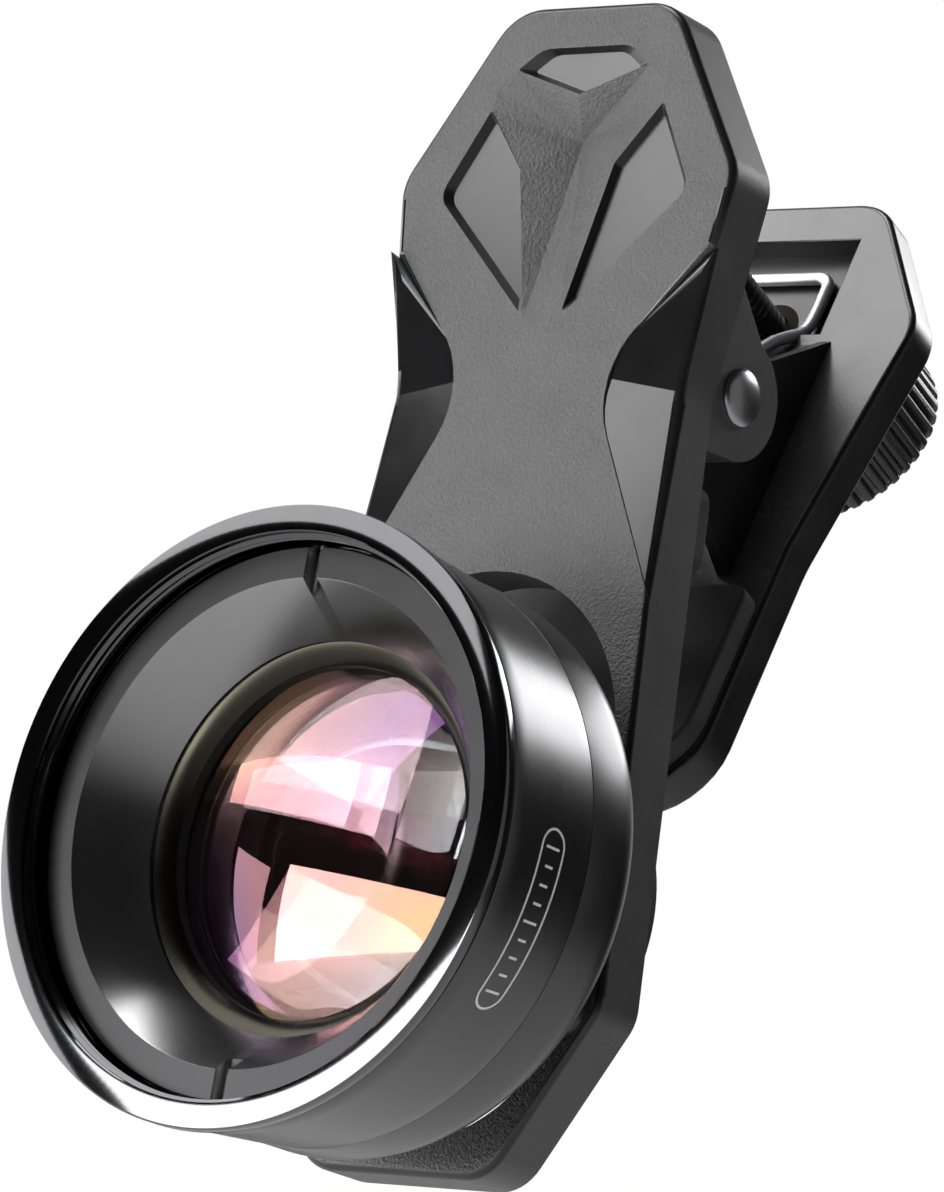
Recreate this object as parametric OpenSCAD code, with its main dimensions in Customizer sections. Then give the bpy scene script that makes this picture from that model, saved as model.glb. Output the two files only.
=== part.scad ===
// Clip-on phone lens: a screw-in close-up lens on a spring clip.
// Y runs along the optical axis, from the front rim of the lens back into the phone. Z runs up the
// clip to its handles and X to the right, seen from in front. The origin is on the optical axis, in
// the plane of the front rim. All sizes are in millimetres.

/* [Lens barrel] */
// Radius of the front rim
rim_r = 20; // [17:0.1:24]
// Wall of the front ring outside the 37 mm filter thread
rim_wall = 1.75; // [1.5:0.05:2.2]
// Depth of the front ring's collar, from the rim to its groove
collar_len = 0.95; // [0.8:0.05:1.6]
// Width of the broken edges of the rim's collar
rim_bevel = 0.15; // [0.1:0.05:0.3]
// Depth of the groove behind the collar
groove_drop = 0.6; // [0.4:0.05:0.7]
// Width of the groove between the front ring and the barrel
groove_w = 0.35; // [0.2:0.05:0.6]
// Length of the front ring's spigot inside the barrel
spigot_len = 3; // [2.4:0.1:3.4]
// Step from the front ring's radius in to the barrel's
rim_step = 0.25; // [0.1:0.05:0.4]
// Drop of the barrel's radius over its taper
barrel_taper = 0.7; // [0.2:0.1:1.2]
// Length of the tapered part of the barrel
barrel_taper_len = 9; // [7:0.5:10]
// Floor of the barrel behind the optical cell
barrel_floor = 2.5; // [2.1:0.1:3.4]
// Radius of the rounded rear edge of the barrel
barrel_round = 3.5; // [2:0.1:5]
// Length of the neck between the barrel and the clip
neck_len = 3.3; // [3:0.1:4]
// Step from the threaded stub out to the neck
neck_step = 2; // [1.2:0.1:3]
// Radius of the threaded stub that screws into the clip
stub_r = 8.5; // [7.6:0.05:10]
// Wall of the threaded stub
stub_wall = 1.1; // [0.8:0.1:1.5]

/* [Optics] */
// Depth of the retaining ring's face below the rim
ring_depth = 2; // [1.6:0.1:2.6]
// Width of the relief groove behind the filter thread
relief_w = 0.3; // [0.2:0.05:0.5]
// Width of the retaining ring's flat face
ring_face_w = 2.15; // [1.6:0.05:2.6]
// Distance from the front glass's edge to the foot of the retaining ring's cone
cone_step = 0.8; // [0.4:0.1:1.4]
// Length of the retaining ring
ring_len = 4.5; // [4:0.1:5]
// Width of the two spanner slots
slot_w = 1.15; // [0.8:0.05:1.6]
// Depth of the two spanner slots
slot_depth = 1.3; // [0.8:0.1:1.8]
// Wall of the optical cell
cell_wall = 3; // [2.2:0.1:3.6]
// Overlap of the cell's front lip over the front glass
lip_lap = 0.5; // [0.2:0.1:1]
// Thickness of the cell's front lip
lip_t = 1.7; // [1.2:0.1:1.9]
// Distance from the rim in to the edge of the front glass
glass_inset = 8; // [7.4:0.1:9.5]
// Curvature of the front glass, as its radius of curvature over its own radius
glass_curve = 2.83; // [2.5:0.01:5]
// Edge thickness of the front glass
glass_edge = 2; // [1.6:0.1:2.4]
// Thickness of the spacer ring
spacer_t = 1.4; // [1:0.1:1.6]
// Wall of the spacer ring
spacer_wall = 1.2; // [0.8:0.1:2]
// Edge thickness of the middle glass
middle_edge = 1.7; // [1.4:0.1:2]
// Thickness of the aperture stop
stop_t = 0.7; // [0.5:0.1:1.2]
// Width of the aperture stop's ring
stop_w = 5; // [3:0.1:6]
// Edge thickness of the rear glass
rear_glass_edge = 1.8; // [1.4:0.1:2.4]
// Thickness of the rear retaining ring
rear_ring_t = 1; // [0.8:0.1:1.2]
// Width of the rear retaining ring
rear_ring_w = 1.6; // [1.2:0.1:2.2]

/* [Front lever] */
// Thickness of the lever
lever_t = 4.2; // [3.8:0.1:4.6]
// Height of the handle's top edge above the optical axis
lever_top = 60.2; // [59.5:0.1:62]
// Height of the frame below the slot
foot_rail = 2.15; // [1.7:0.05:3]
// Half width of the handle at its widest
head_half = 13.9; // [13.5:0.1:14.4]
// Height at which the handle is widest
head_z = 48.2; // [47.8:0.1:49]
// Half width of the top edge before its corners are rounded
crown_half = 6.7; // [6:0.1:7.5]
// Half width of the waist
waist_half = 11.9; // [11.6:0.1:12.4]
// Width of the frame beside the slot
frame_side = 2.35; // [2:0.05:3]
// Depth at which the frame's corners start, below the optical axis
frame_corner = 7.3; // [6.5:0.1:8.5]
// Half width of the bottom edge before its corners are rounded
foot_half = 7.4; // [6.8:0.1:8.4]
// Height of the slot's upper centre above the optical axis
slot_up = 9.5; // [8:0.1:10]
// Depth of the slot's lower centre below the optical axis
slot_down = 4.8; // [4:0.1:5]
// Slope of the polished facets at the edge of the waist, in degrees
facet_slope = 7; // [4:0.5:9]
// Half width between the facets' corners, before they are rounded
facet_corner = 4.9; // [4.5:0.1:5.6]
// Angle of a facet's upper border, in degrees
facet_up = 46; // [44:1:48]
// Angle of a facet's lower border, in degrees
facet_down = 63; // [61:1:65]
// Depth of the polished pockets in the handle
pocket_depth = 0.55; // [0.3:0.05:0.9]
// Depth of the Y-shaped groove at its centre
groove_depth = 1.3; // [0.6:0.05:1.6]

/* [Pivot] */
// Distance from the lever's front face to the pivot
pivot_off = 7.2; // [7:0.1:7.6]
// Height of the pivot above the optical axis
pivot_z = 35; // [34.6:0.1:35.4]
// Radius of the rounded ears
ear_r = 4.2; // [3.8:0.1:4.3]
// Distance from the waist's edge in to the ears
ear_inset = 0.1; // [0:0.05:0.4]
// Thickness of an ear
ear_t = 2.8; // [2.4:0.1:3]
// Radius of the rivet
rivet_r = 1.25; // [1.1:0.05:1.4]
// Radius of the rivet's heads
rivet_head_r = 1.95; // [1.8:0.05:2.3]
// Height of the rivet's heads
rivet_head_h = 0.7; // [0.5:0.05:1]

/* [Rear lever] */
// Tilt of the rear lever away from the front lever, in degrees
rear_tilt = 20.8; // [20.6:0.1:21.2]
// Distance from the pivot to the rear lever's front face
rear_off = 11.1; // [11:0.1:11.4]
// Thickness of the rear lever
rear_t = 3; // [2.8:0.1:3.4]
// Length of the rear lever above the pivot
rear_up = 25.4; // [25:0.1:26.5]
// Length of the jaw below the pivot
rear_down = 23.8; // [23.2:0.1:24]
// Half width of the rear handle at its widest
rear_head_half = 13.6; // [13.2:0.1:14]
// Height above the pivot at which the rear handle is widest
rear_head_z = 14.8; // [14.4:0.1:15.2]
// Half width of the rear handle's top edge before its corners are rounded
rear_crown_half = 6.8; // [6.2:0.1:7.6]
// Half width of the jaw
jaw_half = 10.9; // [10.6:0.1:11.3]
// Half width of the window in the rear handle
window_half = 5.9; // [5.4:0.1:6.2]
// Lower edge of the window above the pivot
window_low = 14.1; // [13.9:0.1:14.3]
// Upper edge of the window above the pivot
window_high = 22.2; // [21.4:0.1:22.6]
// Depth of the window's pocket
window_depth = 1.7; // [1.4:0.1:1.9]
// Distance from an ear in to the knuckle's cheek
hub_len = 1.8; // [1.5:0.1:1.9]
// Thickness of a knuckle's cheek
cheek_t = 1; // [0.8:0.05:1.05]
// Clearance between the knuckle's hub and the front lever
hub_gap = 0.35; // [0.3:0.05:0.7]

/* [Pads] */
// Thickness of the ring pad on the carriage
ring_pad_t = 2.4; // [2:0.1:2.5]
// Thickness of the jaw's pad
jaw_pad_t = 1.8; // [1.5:0.1:1.9]
// Height of the jaw's pad
jaw_pad_h = 14.8; // [13:0.1:15.5]
// Height of the pad on the front lever
lever_pad_h = 6; // [5:0.1:6.4]

/* [Carriage] */
// Wall of the carriage's bush round the stub
bush_wall = 3.1; // [2.7:0.1:3.6]
// Overlap of the carriage's front plate beside the slot
plate_lap = 1.45; // [0.8:0.05:1.8]
// Height of the front plate above and below the stub
plate_rise = 0.9; // [0.6:0.1:1.6]
// Thickness of the carriage's front plate
plate_t = 1; // [0.8:0.1:1.2]
// Step from the front plate's edge in to its raised land
land_step = 2; // [1.4:0.1:2.6]
// Height of the raised land
land_t = 0.5; // [0.3:0.1:0.6]
// Overlap of the bush's flange behind the lever
flange_lap = 1.15; // [0.9:0.05:1.3]
// Thickness of the bush's flange
flange_t = 0.8; // [0.7:0.1:1]

/* [Clamp screw and spring] */
// Height of the clamp screw above the pivot, along the rear lever
screw_z = 15.6; // [15.4:0.1:16]
// Radius of the clamp screw
screw_r = 1.5; // [1.3:0.05:1.6]
// Reach of the clamp screw in front of the rear lever
screw_reach = 13; // [11:0.5:13.5]
// Radius of the knob over its ribs
knob_r = 7.25; // [6.8:0.05:7.6]
// Height of the knob
knob_h = 10.3; // [9:0.1:11]
// Number of ribs on the knob
knob_ribs = 40; // [30:1:44]
// Depth of the grooves between the ribs
rib_depth = 0.45; // [0.3:0.05:0.6]
// Radius of the boss round the threaded insert
boss_r = 4; // [3.6:0.1:4.2]
// Height of the boss round the threaded insert
boss_h = 2; // [1.6:0.1:2.2]
// Radius of the threaded insert
insert_r = 2.4; // [2.2:0.05:2.6]
// Thickness of the knob's washer
washer_t = 0.5; // [0.4:0.05:0.6]
// Diameter of the spring's wire
wire_d = 0.9; // [0.8:0.05:0.9]
// Mean radius of the spring's coils
coil_r = 2.35; // [2.2:0.05:2.45]
// Whole turns in each of the spring's two coils
coil_turns = 2; // [1:1:2]
// Clearance between a coil and the knuckle's cheek
coil_gap = 0.2; // [0.15:0.05:0.4]
// Half width of the spring's loop
loop_half = 3.9; // [3.4:0.05:4.2]

/* [Hidden] */
// Radial clearance of a round piece in its seat
seat_gap = 0.05;
// Radial clearance of a turning shaft
run_gap = 0.08;
// Clearance between pieces that move past each other
free_gap = 0.3;
eps = 0.01;
thread_r = rim_r - rim_wall;
barrel_front_r = rim_r - rim_step;
barrel_rear_r = barrel_front_r - barrel_taper;
glass_r = rim_r - glass_inset;
lip_r = glass_r - lip_lap;
cell_r = glass_r + cell_wall;
cone_r = glass_r + cone_step;
bush_r = stub_r + bush_wall;
slot_half = bush_r + 0.15;
flange_r = slot_half + flange_lap;
frame_half = slot_half + frame_side;
lever_bottom = slot_down + slot_half + foot_rail;
neck_r = stub_r + neck_step;
groove_y = collar_len + groove_w;
spigot_end = groove_y + spigot_len;
spigot_r = thread_r + 0.65;
relief_r = thread_r + 0.25;
seat_r = thread_r - 0.4;
ring_face_r = seat_r - ring_face_w;
thread_len = ring_depth - relief_w;
ring_y = ring_depth;
ring_end = ring_y + ring_len;
taper_y = groove_y + barrel_taper_len;
glass_y = ring_end + lip_t;
spacer_y = glass_y + glass_edge;
middle_y = spacer_y + spacer_t;
stop_y = middle_y + middle_edge;
cell_end = stop_y + stop_t + 0.5;
barrel_len = cell_end + barrel_floor;
lever_y = barrel_len + neck_len;
lever_back = lever_y + lever_t;
pivot_y = lever_y + pivot_off;
waist_z = pivot_z - 1;
ear_out = waist_half - ear_inset;
cheek_out = ear_out - ear_t - hub_len;
hub_r = pivot_off - lever_t - hub_gap;
plate_half_x = slot_half + plate_lap;
plate_half_z = stub_r + plate_rise;
land_half_z = plate_half_z - land_step;
stop_r = glass_r - stop_w;
shoulder_y = lever_y - plate_t - land_t;
bush_end = lever_back + flange_t;
pad_plane = bush_end + ring_pad_t;
stub_end = bush_end - 0.4;
stub_bore = stub_r - stub_wall;
rear_ring_r = stub_bore - rear_ring_w;
rear_ring_y = stub_end - rear_ring_t;
rear_glass_y = rear_ring_y - rear_glass_edge;
round_seg = 8;
$fn = 96;

// A solid turned about the optical axis from points of radius and depth
module turned(points) {
    rotate([-90, 0, 0]) rotate_extrude() polygon(points);
}

// A solid with an outline in X and Z, between two depths
module slab(y_from, y_to) {
    translate([0, y_to, 0]) rotate([90, 0, 0]) linear_extrude(y_to - y_from) children();
}

// A solid with an outline in Y and Z, between two widths
module cheek(x_from, x_to) {
    translate([x_from, 0, 0]) rotate([90, 0, 90]) linear_extrude(x_to - x_from) children();
}

// The same piece on both sides of the clip
module both_sides() {
    children();
    mirror([1, 0, 0]) children();
}

// Places a piece in the rear lever's own frame, whose origin is the pivot
module on_rear_lever() {
    translate([0, pivot_y, pivot_z]) rotate([-rear_tilt, 0, 0]) children();
}

// Unit vector from one point to another
function toward(a, b) = (b - a) / norm(b - a);

// Points of one rounded corner at b, between its neighbours a and c
function corner(a, b, c, r) =
    let (u = toward(b, a), v = toward(b, c), half = acos(u * v) / 2,
        m = b + toward([0, 0], u + v) * r / sin(half), p = b + u * r / tan(half) - m,
        q = b + v * r / tan(half) - m, start = atan2(p.y, p.x),
        turn = atan2(p.x * q.y - p.y * q.x, p * q))
    [for (i = [0:round_seg]) m + r * [cos(start + turn * i / round_seg), sin(start + turn * i / round_seg)]];

// An outline whose corners are rounded, each by its own radius
function rounded(points, radii) =
    let (n = len(points))
    [for (i = [0:n - 1]) each corner(points[(i + n - 1) % n], points[i], points[(i + 1) % n], radii[i])];

// The half outline on the right, closed by its mirror image on the left
function mirrored(half) = concat(half, [for (i = [len(half) - 1:-1:0]) [-half[i].x, half[i].y]]);

// Outline of the front lever: hexagonal handle, waist, and frame round the lens
lever_half = [[crown_half, lever_top], [head_half, head_z], [waist_half, waist_z],
    [frame_half, -frame_corner], [foot_half, -lever_bottom]];
lever_radii = [4, 3.5, 12, 3, 3.5];

// Outline of the rear lever in its own frame
rear_half = [[rear_crown_half, rear_up], [rear_head_half, rear_head_z], [jaw_half, -4],
    [jaw_half, -rear_down]];
rear_radii = [4, 4, 14, 5.5];

// Corner radii of a mirrored outline
function twice(radii) = concat(radii, [for (i = [len(radii) - 1:-1:0]) radii[i]]);

module front_ring() {
    color("#26272a") turned([[thread_r, 0], [rim_r - rim_bevel, 0], [rim_r, rim_bevel],
        [rim_r, collar_len - rim_bevel], [rim_r - rim_bevel, collar_len], [rim_r - groove_drop, collar_len],
        [rim_r - groove_drop, groove_y], [spigot_r, groove_y], [spigot_r, spigot_end],
        [seat_r, spigot_end], [seat_r, ring_y], [relief_r, ring_y], [relief_r, thread_len],
        [thread_r, thread_len]]);
}

module retaining_ring() {
    color("#3a3b3e") difference() {
        turned([[ring_face_r, ring_y], [seat_r - seat_gap, ring_y], [seat_r - seat_gap, ring_end],
            [cone_r, ring_end], [cone_r, ring_end - 0.3]]);
        for (side = [-1, 1])
            translate([-slot_w / 2, ring_y - eps, side > 0 ? ring_face_r - 1.6 : -thread_r])
                cube([slot_w, slot_depth, thread_r - ring_face_r + 1.6]);
    }
}

module lens_barrel() {
    round_y = barrel_len - barrel_round;
    round_x = barrel_rear_r - barrel_round;
    color("#1b1c1e") turned(concat(
        [[spigot_r + seat_gap, groove_y], [barrel_front_r - 0.15, groove_y],
            [barrel_front_r, groove_y + 0.15], [barrel_rear_r, taper_y]],
        [for (i = [0:12]) [round_x + barrel_round * cos(i * 7.5), round_y + barrel_round * sin(i * 7.5)]],
        [[neck_r + 0.4, barrel_len], [neck_r, barrel_len + 0.4], [neck_r, shoulder_y], [stub_r - seat_gap, shoulder_y],
            [stub_r - seat_gap, stub_end], [stub_bore, stub_end], [stub_bore, rear_glass_y],
            [stub_bore - 0.9, rear_glass_y], [stub_bore - 0.9, cell_end], [cell_r, cell_end],
            [cell_r, ring_end], [seat_r, ring_end], [seat_r, spigot_end],
            [spigot_r + seat_gap, spigot_end]]));
}

module optical_cell() {
    color("#3d3a33") turned([[cone_r, ring_end], [cell_r - seat_gap, ring_end], [cell_r - seat_gap, cell_end],
        [glass_r, cell_end], [glass_r, glass_y], [lip_r, glass_y], [lip_r, ring_end + 0.8]]);
}

// Depth of a curved glass surface at radius r, for a radius of curvature
function sag(r, curve) = curve - sqrt(curve * curve - r * r);

// A lens element: edge radius, edge depths, and its front and rear curvature, positive when it bulges
module element(r, y_from, y_to, front_curve, rear_curve) {
    steps = 14;
    turned(concat(
        [for (i = [0:steps]) let (x = r * i / steps)
            [x, y_from - sign(front_curve) * (sag(r, abs(front_curve)) - sag(x, abs(front_curve)))]],
        [for (i = [steps:-1:0]) let (x = r * i / steps)
            [x, y_to + sign(rear_curve) * (sag(r, abs(rear_curve)) - sag(x, abs(rear_curve)))]]));
}

module front_glass() {
    color("#c9a0a8") element(glass_r - seat_gap, glass_y + 0.25, spacer_y, glass_curve * glass_r, 13 * glass_r);
}

module spacer_ring() {
    color("#2a2a2a") turned([[glass_r - spacer_wall, spacer_y + 0.6], [glass_r - seat_gap, spacer_y],
        [glass_r - seat_gap, middle_y], [glass_r - spacer_wall, middle_y]]);
}

module middle_glass() {
    color("#b5a5c9") element(glass_r - seat_gap, middle_y, stop_y, -7.5 * glass_r, -25 * glass_r);
}

module aperture_stop() {
    color("#141414") turned([[stop_r, stop_y + 0.5], [glass_r - seat_gap, stop_y + 0.5],
        [glass_r - seat_gap, cell_end], [stop_r, cell_end]]);
}

module rear_glass() {
    color("#a8b5c9") element(stub_bore - seat_gap, rear_glass_y + 0.15, rear_ring_y, 8 * stub_bore, -6 * stub_bore);
}

module rear_retaining_ring() {
    color("#3a3b3e") turned([[rear_ring_r, rear_ring_y], [stub_bore - seat_gap, rear_ring_y],
        [stub_bore - seat_gap, stub_end], [rear_ring_r + 0.5, stub_end], [rear_ring_r, stub_end - 0.5]]);
}

module carriage_plate() {
    color("#202124") difference() {
        union() {
            slab(lever_y - plate_t, lever_y)
                polygon(rounded([[plate_half_x, plate_half_z], [plate_half_x, -plate_half_z],
                    [-plate_half_x, -plate_half_z], [-plate_half_x, plate_half_z]], [2, 2, 2, 2]));
            slab(shoulder_y, lever_y - plate_t + eps)
                polygon(rounded([[plate_half_x - 0.4, land_half_z], [plate_half_x - 0.4, -land_half_z],
                    [-plate_half_x + 0.4, -land_half_z], [-plate_half_x + 0.4, land_half_z]],
                    [1.6, 1.6, 1.6, 1.6]));
        }
        rotate([-90, 0, 0]) cylinder(r = stub_r + 0.2, h = lever_back);
    }
}

module carriage_bush() {
    color("#3a3b3e") turned([[stub_r, lever_y], [bush_r, lever_y], [bush_r, lever_back], [flange_r, lever_back],
        [flange_r, bush_end], [stub_r, bush_end]]);
}

module ring_pad() {
    pad_r = flange_r - 1;
    color("#1a1a1b") turned([[stub_r + 0.6, bush_end], [pad_r, bush_end], [pad_r, pad_plane - 0.3],
        [pad_r - 0.3, pad_plane], [stub_r + 0.9, pad_plane], [stub_r + 0.6, pad_plane - 0.3]]);
}

// All that lies before a plane, which leaves the lever's face along a line and sinks to its left
module before_plane(from, way) {
    translate([from.x, lever_y + 0.1, from.y]) rotate([0, -atan2(way.y, way.x), 0])
        rotate([-facet_slope, 0, 0]) translate([-60, -6, -60]) cube([120, 6, 120]);
}

// Cuts the right-hand facets of the waist: two planes that sink from their borders to a valley between them
module facet_cut() {
    corner_at = [facet_corner, waist_z + 0.5];
    upper = [cos(facet_up), sin(facet_up)];
    lower = [cos(facet_down), -sin(facet_down)];
    intersection() {
        slab(lever_y - 2, lever_y + 2)
            polygon(rounded([corner_at + 15 * upper, corner_at, corner_at + 24 * lower], [0.2, 6.5, 0.2]));
        before_plane(corner_at, -upper);
        before_plane(corner_at, lower);
    }
}

// One polished pocket in the handle, with walls that slope in to its floor
module pocket(points, radii, middle, floor_share) {
    reach = pocket_depth + 0.4;
    translate([middle.x, lever_y + pocket_depth, middle.y]) rotate([90, 0, 0])
        linear_extrude(reach, scale = 1 + (1 / floor_share - 1) * reach / pocket_depth)
            polygon([for (p = rounded(points, radii)) (p - middle) * floor_share]);
}

// The Y-shaped groove: sloping walls that meet in three valleys, between the pockets
module y_groove(top, tip, side, inner, foot) {
    half = [top[1], tip, side, inner, foot[0]];
    rim = concat([top[0]], half, [foot[1]], [for (i = [4:-1:0]) [-half[i].x, half[i].y]]);
    n = len(rim);
    over = 1.15;
    points = concat([[0, lever_y + groove_depth, relief_z]],
        [for (p = rim) [p.x * over, lever_y + groove_depth * (1 - over), relief_z + (p.y - relief_z) * over]]);
    faces = concat([for (i = [1:n]) [0, i % n + 1, i]], [[for (i = [1:n]) i]]);
    polyhedron(points, faces);
}

relief_z = lever_top - 9.3;
module handle_relief() {
    top_low = [0, relief_z + 3];
    top_tip = [5.5, relief_z + 4.9];
    side_top = [7.1, relief_z + 2.2];
    side_inner = [3.9, relief_z - 1.9];
    side_low = [1.5, relief_z - 12.4];
    side_out = [10.3, relief_z - 3.8];
    pocket([[-top_tip.x, top_tip.y], top_low, top_tip, [3.6, relief_z + 6.3], [-3.6, relief_z + 6.3]],
        [0.15, 0.15, 0.15, 2.2, 2.2], [0, relief_z + 4.9], 0.8);
    both_sides() pocket([side_top, side_inner, side_low, side_out], [0.15, 0.3, 0.2, 1.3],
        [5.8, relief_z - 3.6], 0.88);
    y_groove([top_low, top_tip], [6.9, relief_z + 3.7], side_top, side_inner,
        [side_low, [0, relief_z - 12.9]]);
}

// Outline of an ear: a round end at the pivot that runs into the back of the lever
module ear_outline() {
    low = pivot_z - 4.6;
    high = pivot_z + 8.2;
    back = lever_back - 0.4;
    union() {
        translate([pivot_y, pivot_z]) circle(r = ear_r);
        polygon([[back, low + 0.2], [pivot_y - 0.2, pivot_z - ear_r], [pivot_y + 0.6 * ear_r, pivot_z - 0.8 * ear_r],
            [pivot_y + ear_r, pivot_z], [pivot_y + 0.95 * ear_r, pivot_z + 0.31 * ear_r], [back + 0.8, high],
            [back, high + 1.6]]);
    }
}

module front_lever() {
    color("#56575a") difference() {
        union() {
            slab(lever_y, lever_back) polygon(rounded(mirrored(lever_half), twice(lever_radii)));
            both_sides() cheek(ear_out - ear_t, ear_out) ear_outline();
        }
        slab(lever_y - 1, lever_back + 1) polygon(concat(
            [for (i = [0:32]) [0, slot_up] + slot_half * [cos(i * 5.625), sin(i * 5.625)]],
            [for (i = [0:32]) [0, -slot_down] - slot_half * [cos(i * 5.625), sin(i * 5.625)]]));
        both_sides() facet_cut();
        handle_relief();
        translate([-20, pivot_y, pivot_z]) rotate([0, 90, 0]) cylinder(r = rivet_r + seat_gap, h = 40);
    }
}

module lever_pad() {
    low = slot_up + slot_half + flange_lap + 0.6;
    color("#1a1a1b") slab(lever_back, pad_plane)
        polygon(rounded([[waist_half - 1.2, low + lever_pad_h], [waist_half - 0.9, low],
            [-waist_half + 0.9, low], [-waist_half + 1.2, low + lever_pad_h]], [1.5, 1, 1, 1.5]));
}

module pivot_rivet() {
    head_flat = 0.15;
    dome = rivet_head_h - head_flat;
    sphere_r = (rivet_head_r * rivet_head_r + dome * dome) / (2 * dome);
    color("#8e9094") translate([0, pivot_y, pivot_z]) rotate([0, 90, 0]) rotate_extrude($fn = 48)
        polygon(concat([[0, -ear_out - rivet_head_h]],
            [for (i = [1:8]) let (x = rivet_head_r * i / 8)
                [x, -ear_out - head_flat - dome + sphere_r - sqrt(sphere_r * sphere_r - x * x)]],
            [[rivet_head_r, -ear_out], [rivet_r, -ear_out], [rivet_r, ear_out], [rivet_head_r, ear_out]],
            [for (i = [8:-1:0]) let (x = rivet_head_r * i / 8)
                [x, ear_out + head_flat + dome - sphere_r + sqrt(sphere_r * sphere_r - x * x)]]));
}

// A round wire swept along a path of points, with flat ends
module wire(path, r, sides = 8) {
    n = len(path);
    tangents = [for (i = [0:n - 1]) toward(path[max(i - 1, 0)], path[min(i + 1, n - 1)])];
    normals = carried(tangents, 1, [perp(tangents[0], [1, 0, 0])]);
    points = [for (i = [0:n - 1]) let (u = normals[i], v = cross(tangents[i], u))
        for (k = [0:sides - 1]) path[i] + r * (cos(k * 360 / sides) * u + sin(k * 360 / sides) * v)];
    faces = concat([[for (k = [0:sides - 1]) k]],
        [for (i = [0:n - 2]) for (k = [0:sides - 1]) let (a = i * sides + k, b = i * sides + (k + 1) % sides)
            each [[a, a + sides, b], [b, a + sides, b + sides]]],
        [[for (k = [sides - 1:-1:0]) (n - 1) * sides + k]]);
    polyhedron(points, faces, convexity = 6);
}

// The part of v at right angles to t, one long
function perp(t, v) = let (w = v - (v * t) * t) w / norm(w);

// Carries a normal along the path without twisting it
function carried(tangents, i, so_far) =
    i >= len(tangents) ? so_far
        : carried(tangents, i + 1, concat(so_far, [perp(tangents[i], so_far[i - 1])]));

// Half of the spring, from its leg on the front lever, round the coil, to the middle of its loop
coil_pitch = wire_d * 1.04;
coil_sweep = coil_turns + 0.375;
coil_inner = cheek_out - cheek_t - coil_gap - wire_d / 2 - coil_sweep * coil_pitch;
loop_y = rear_off + window_depth - wire_d / 2 - 0.05;
function in_lever(x, y, z) = [x, pivot_y + y * cos(rear_tilt) + z * sin(rear_tilt),
    pivot_z - y * sin(rear_tilt) + z * cos(rear_tilt)];
function half_spring() =
    let (leg_y = lever_back + wire_d / 2 + 0.02, coil_out = coil_inner + coil_sweep * coil_pitch,
        loop_top = screw_z + 4.2)
    concat([[coil_out, leg_y, pivot_z + 12], [coil_out, leg_y, pivot_z + 6]],
        [for (i = [0:round(16 * coil_sweep)]) let (a = 180 + i * 22.5)
            [coil_out - coil_pitch * i / 16, pivot_y + coil_r * cos(a), pivot_z + coil_r * sin(a)]],
        [in_lever(loop_half, 9, 12), in_lever(loop_half, loop_y, loop_top - 1.4)],
        [for (a = [15:25:90]) in_lever(loop_half - 1 + cos(a), loop_y, loop_top - 1 + sin(a))]);

module torsion_spring() {
    right = half_spring();
    left = [for (i = [len(right) - 1:-1:0]) [-right[i].x, right[i].y, right[i].z]];
    color("#d0d2d6") wire(concat(right, left), wire_d / 2);
}

// Side view of the knuckle: from the rear lever's face to a round hub at the pivot
module knuckle_outline() {
    union() {
        circle(r = hub_r);
        polygon([[hub_r * 0.5, hub_r * 0.866], [rear_off + 0.5, window_low - 0.2], [rear_off + 0.5, -6.5],
            [hub_r * 0.42, -hub_r * 0.907]]);
    }
}

module rear_lever() {
    ramp_start = [coil_r + 3.85, coil_r + 2.25];
    color("#6a6b6e") on_rear_lever() difference() {
        union() {
            slab(rear_off, rear_off + rear_t) polygon(rounded(mirrored(rear_half), twice(rear_radii)));
            both_sides() cheek(cheek_out - cheek_t, cheek_out) knuckle_outline();
            both_sides() translate([cheek_out - eps, 0, 0]) rotate([0, 90, 0])
                cylinder(r = hub_r - 0.4, h = ear_out - ear_t - free_gap - cheek_out);
            cheek(-cheek_out + eps, cheek_out - eps)
                polygon([ramp_start, [rear_off + 0.5, window_low - 0.2], [rear_off + 0.5, window_low - 1.9],
                    ramp_start + [0.4, -1.1]]);
            translate([0, rear_off + rear_t - eps, screw_z]) rotate([-90, 0, 0]) cylinder(r = boss_r, h = boss_h);
        }
        slab(rear_off - 1, rear_off + window_depth)
            polygon([[-window_half, window_low], [window_half, window_low], [window_half, window_high],
                [-window_half, window_high]]);
        translate([0, rear_off - 1, screw_z]) rotate([-90, 0, 0]) cylinder(r = insert_r, h = rear_t + boss_h + 2);
        translate([-20, 0, 0]) rotate([0, 90, 0]) cylinder(r = rivet_r + run_gap, h = 40);
    }
}

module jaw_pad() {
    color("#1a1a1b") on_rear_lever() slab(rear_off - jaw_pad_t, rear_off)
        polygon(rounded([[jaw_half - 0.3, jaw_pad_h - rear_down + 0.8], [jaw_half - 0.3, 0.8 - rear_down],
            [0.3 - jaw_half, 0.8 - rear_down], [0.3 - jaw_half, jaw_pad_h - rear_down + 0.8]], [1, 4.8, 4.8, 1]));
}

module screw_insert() {
    color("#b08d4a") on_rear_lever() translate([0, rear_off + window_depth, screw_z]) rotate([-90, 0, 0])
        difference() {
            cylinder(r = insert_r, h = rear_t + boss_h - window_depth);
            translate([0, 0, -1]) cylinder(r = screw_r + run_gap, h = 10);
        }
}

knob_y = rear_off + rear_t + 0.4;
boss_top = rear_off + rear_t + boss_h;
hollow_y = boss_top + washer_t + 0.1;

module knob_washer() {
    color("#9a9ca0") on_rear_lever() translate([0, boss_top + 0.05, screw_z]) rotate([-90, 0, 0]) difference() {
        cylinder(r = boss_r - 0.5, h = washer_t);
        translate([0, 0, -1]) cylinder(r = screw_r + run_gap, h = 3);
    }
}

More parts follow.
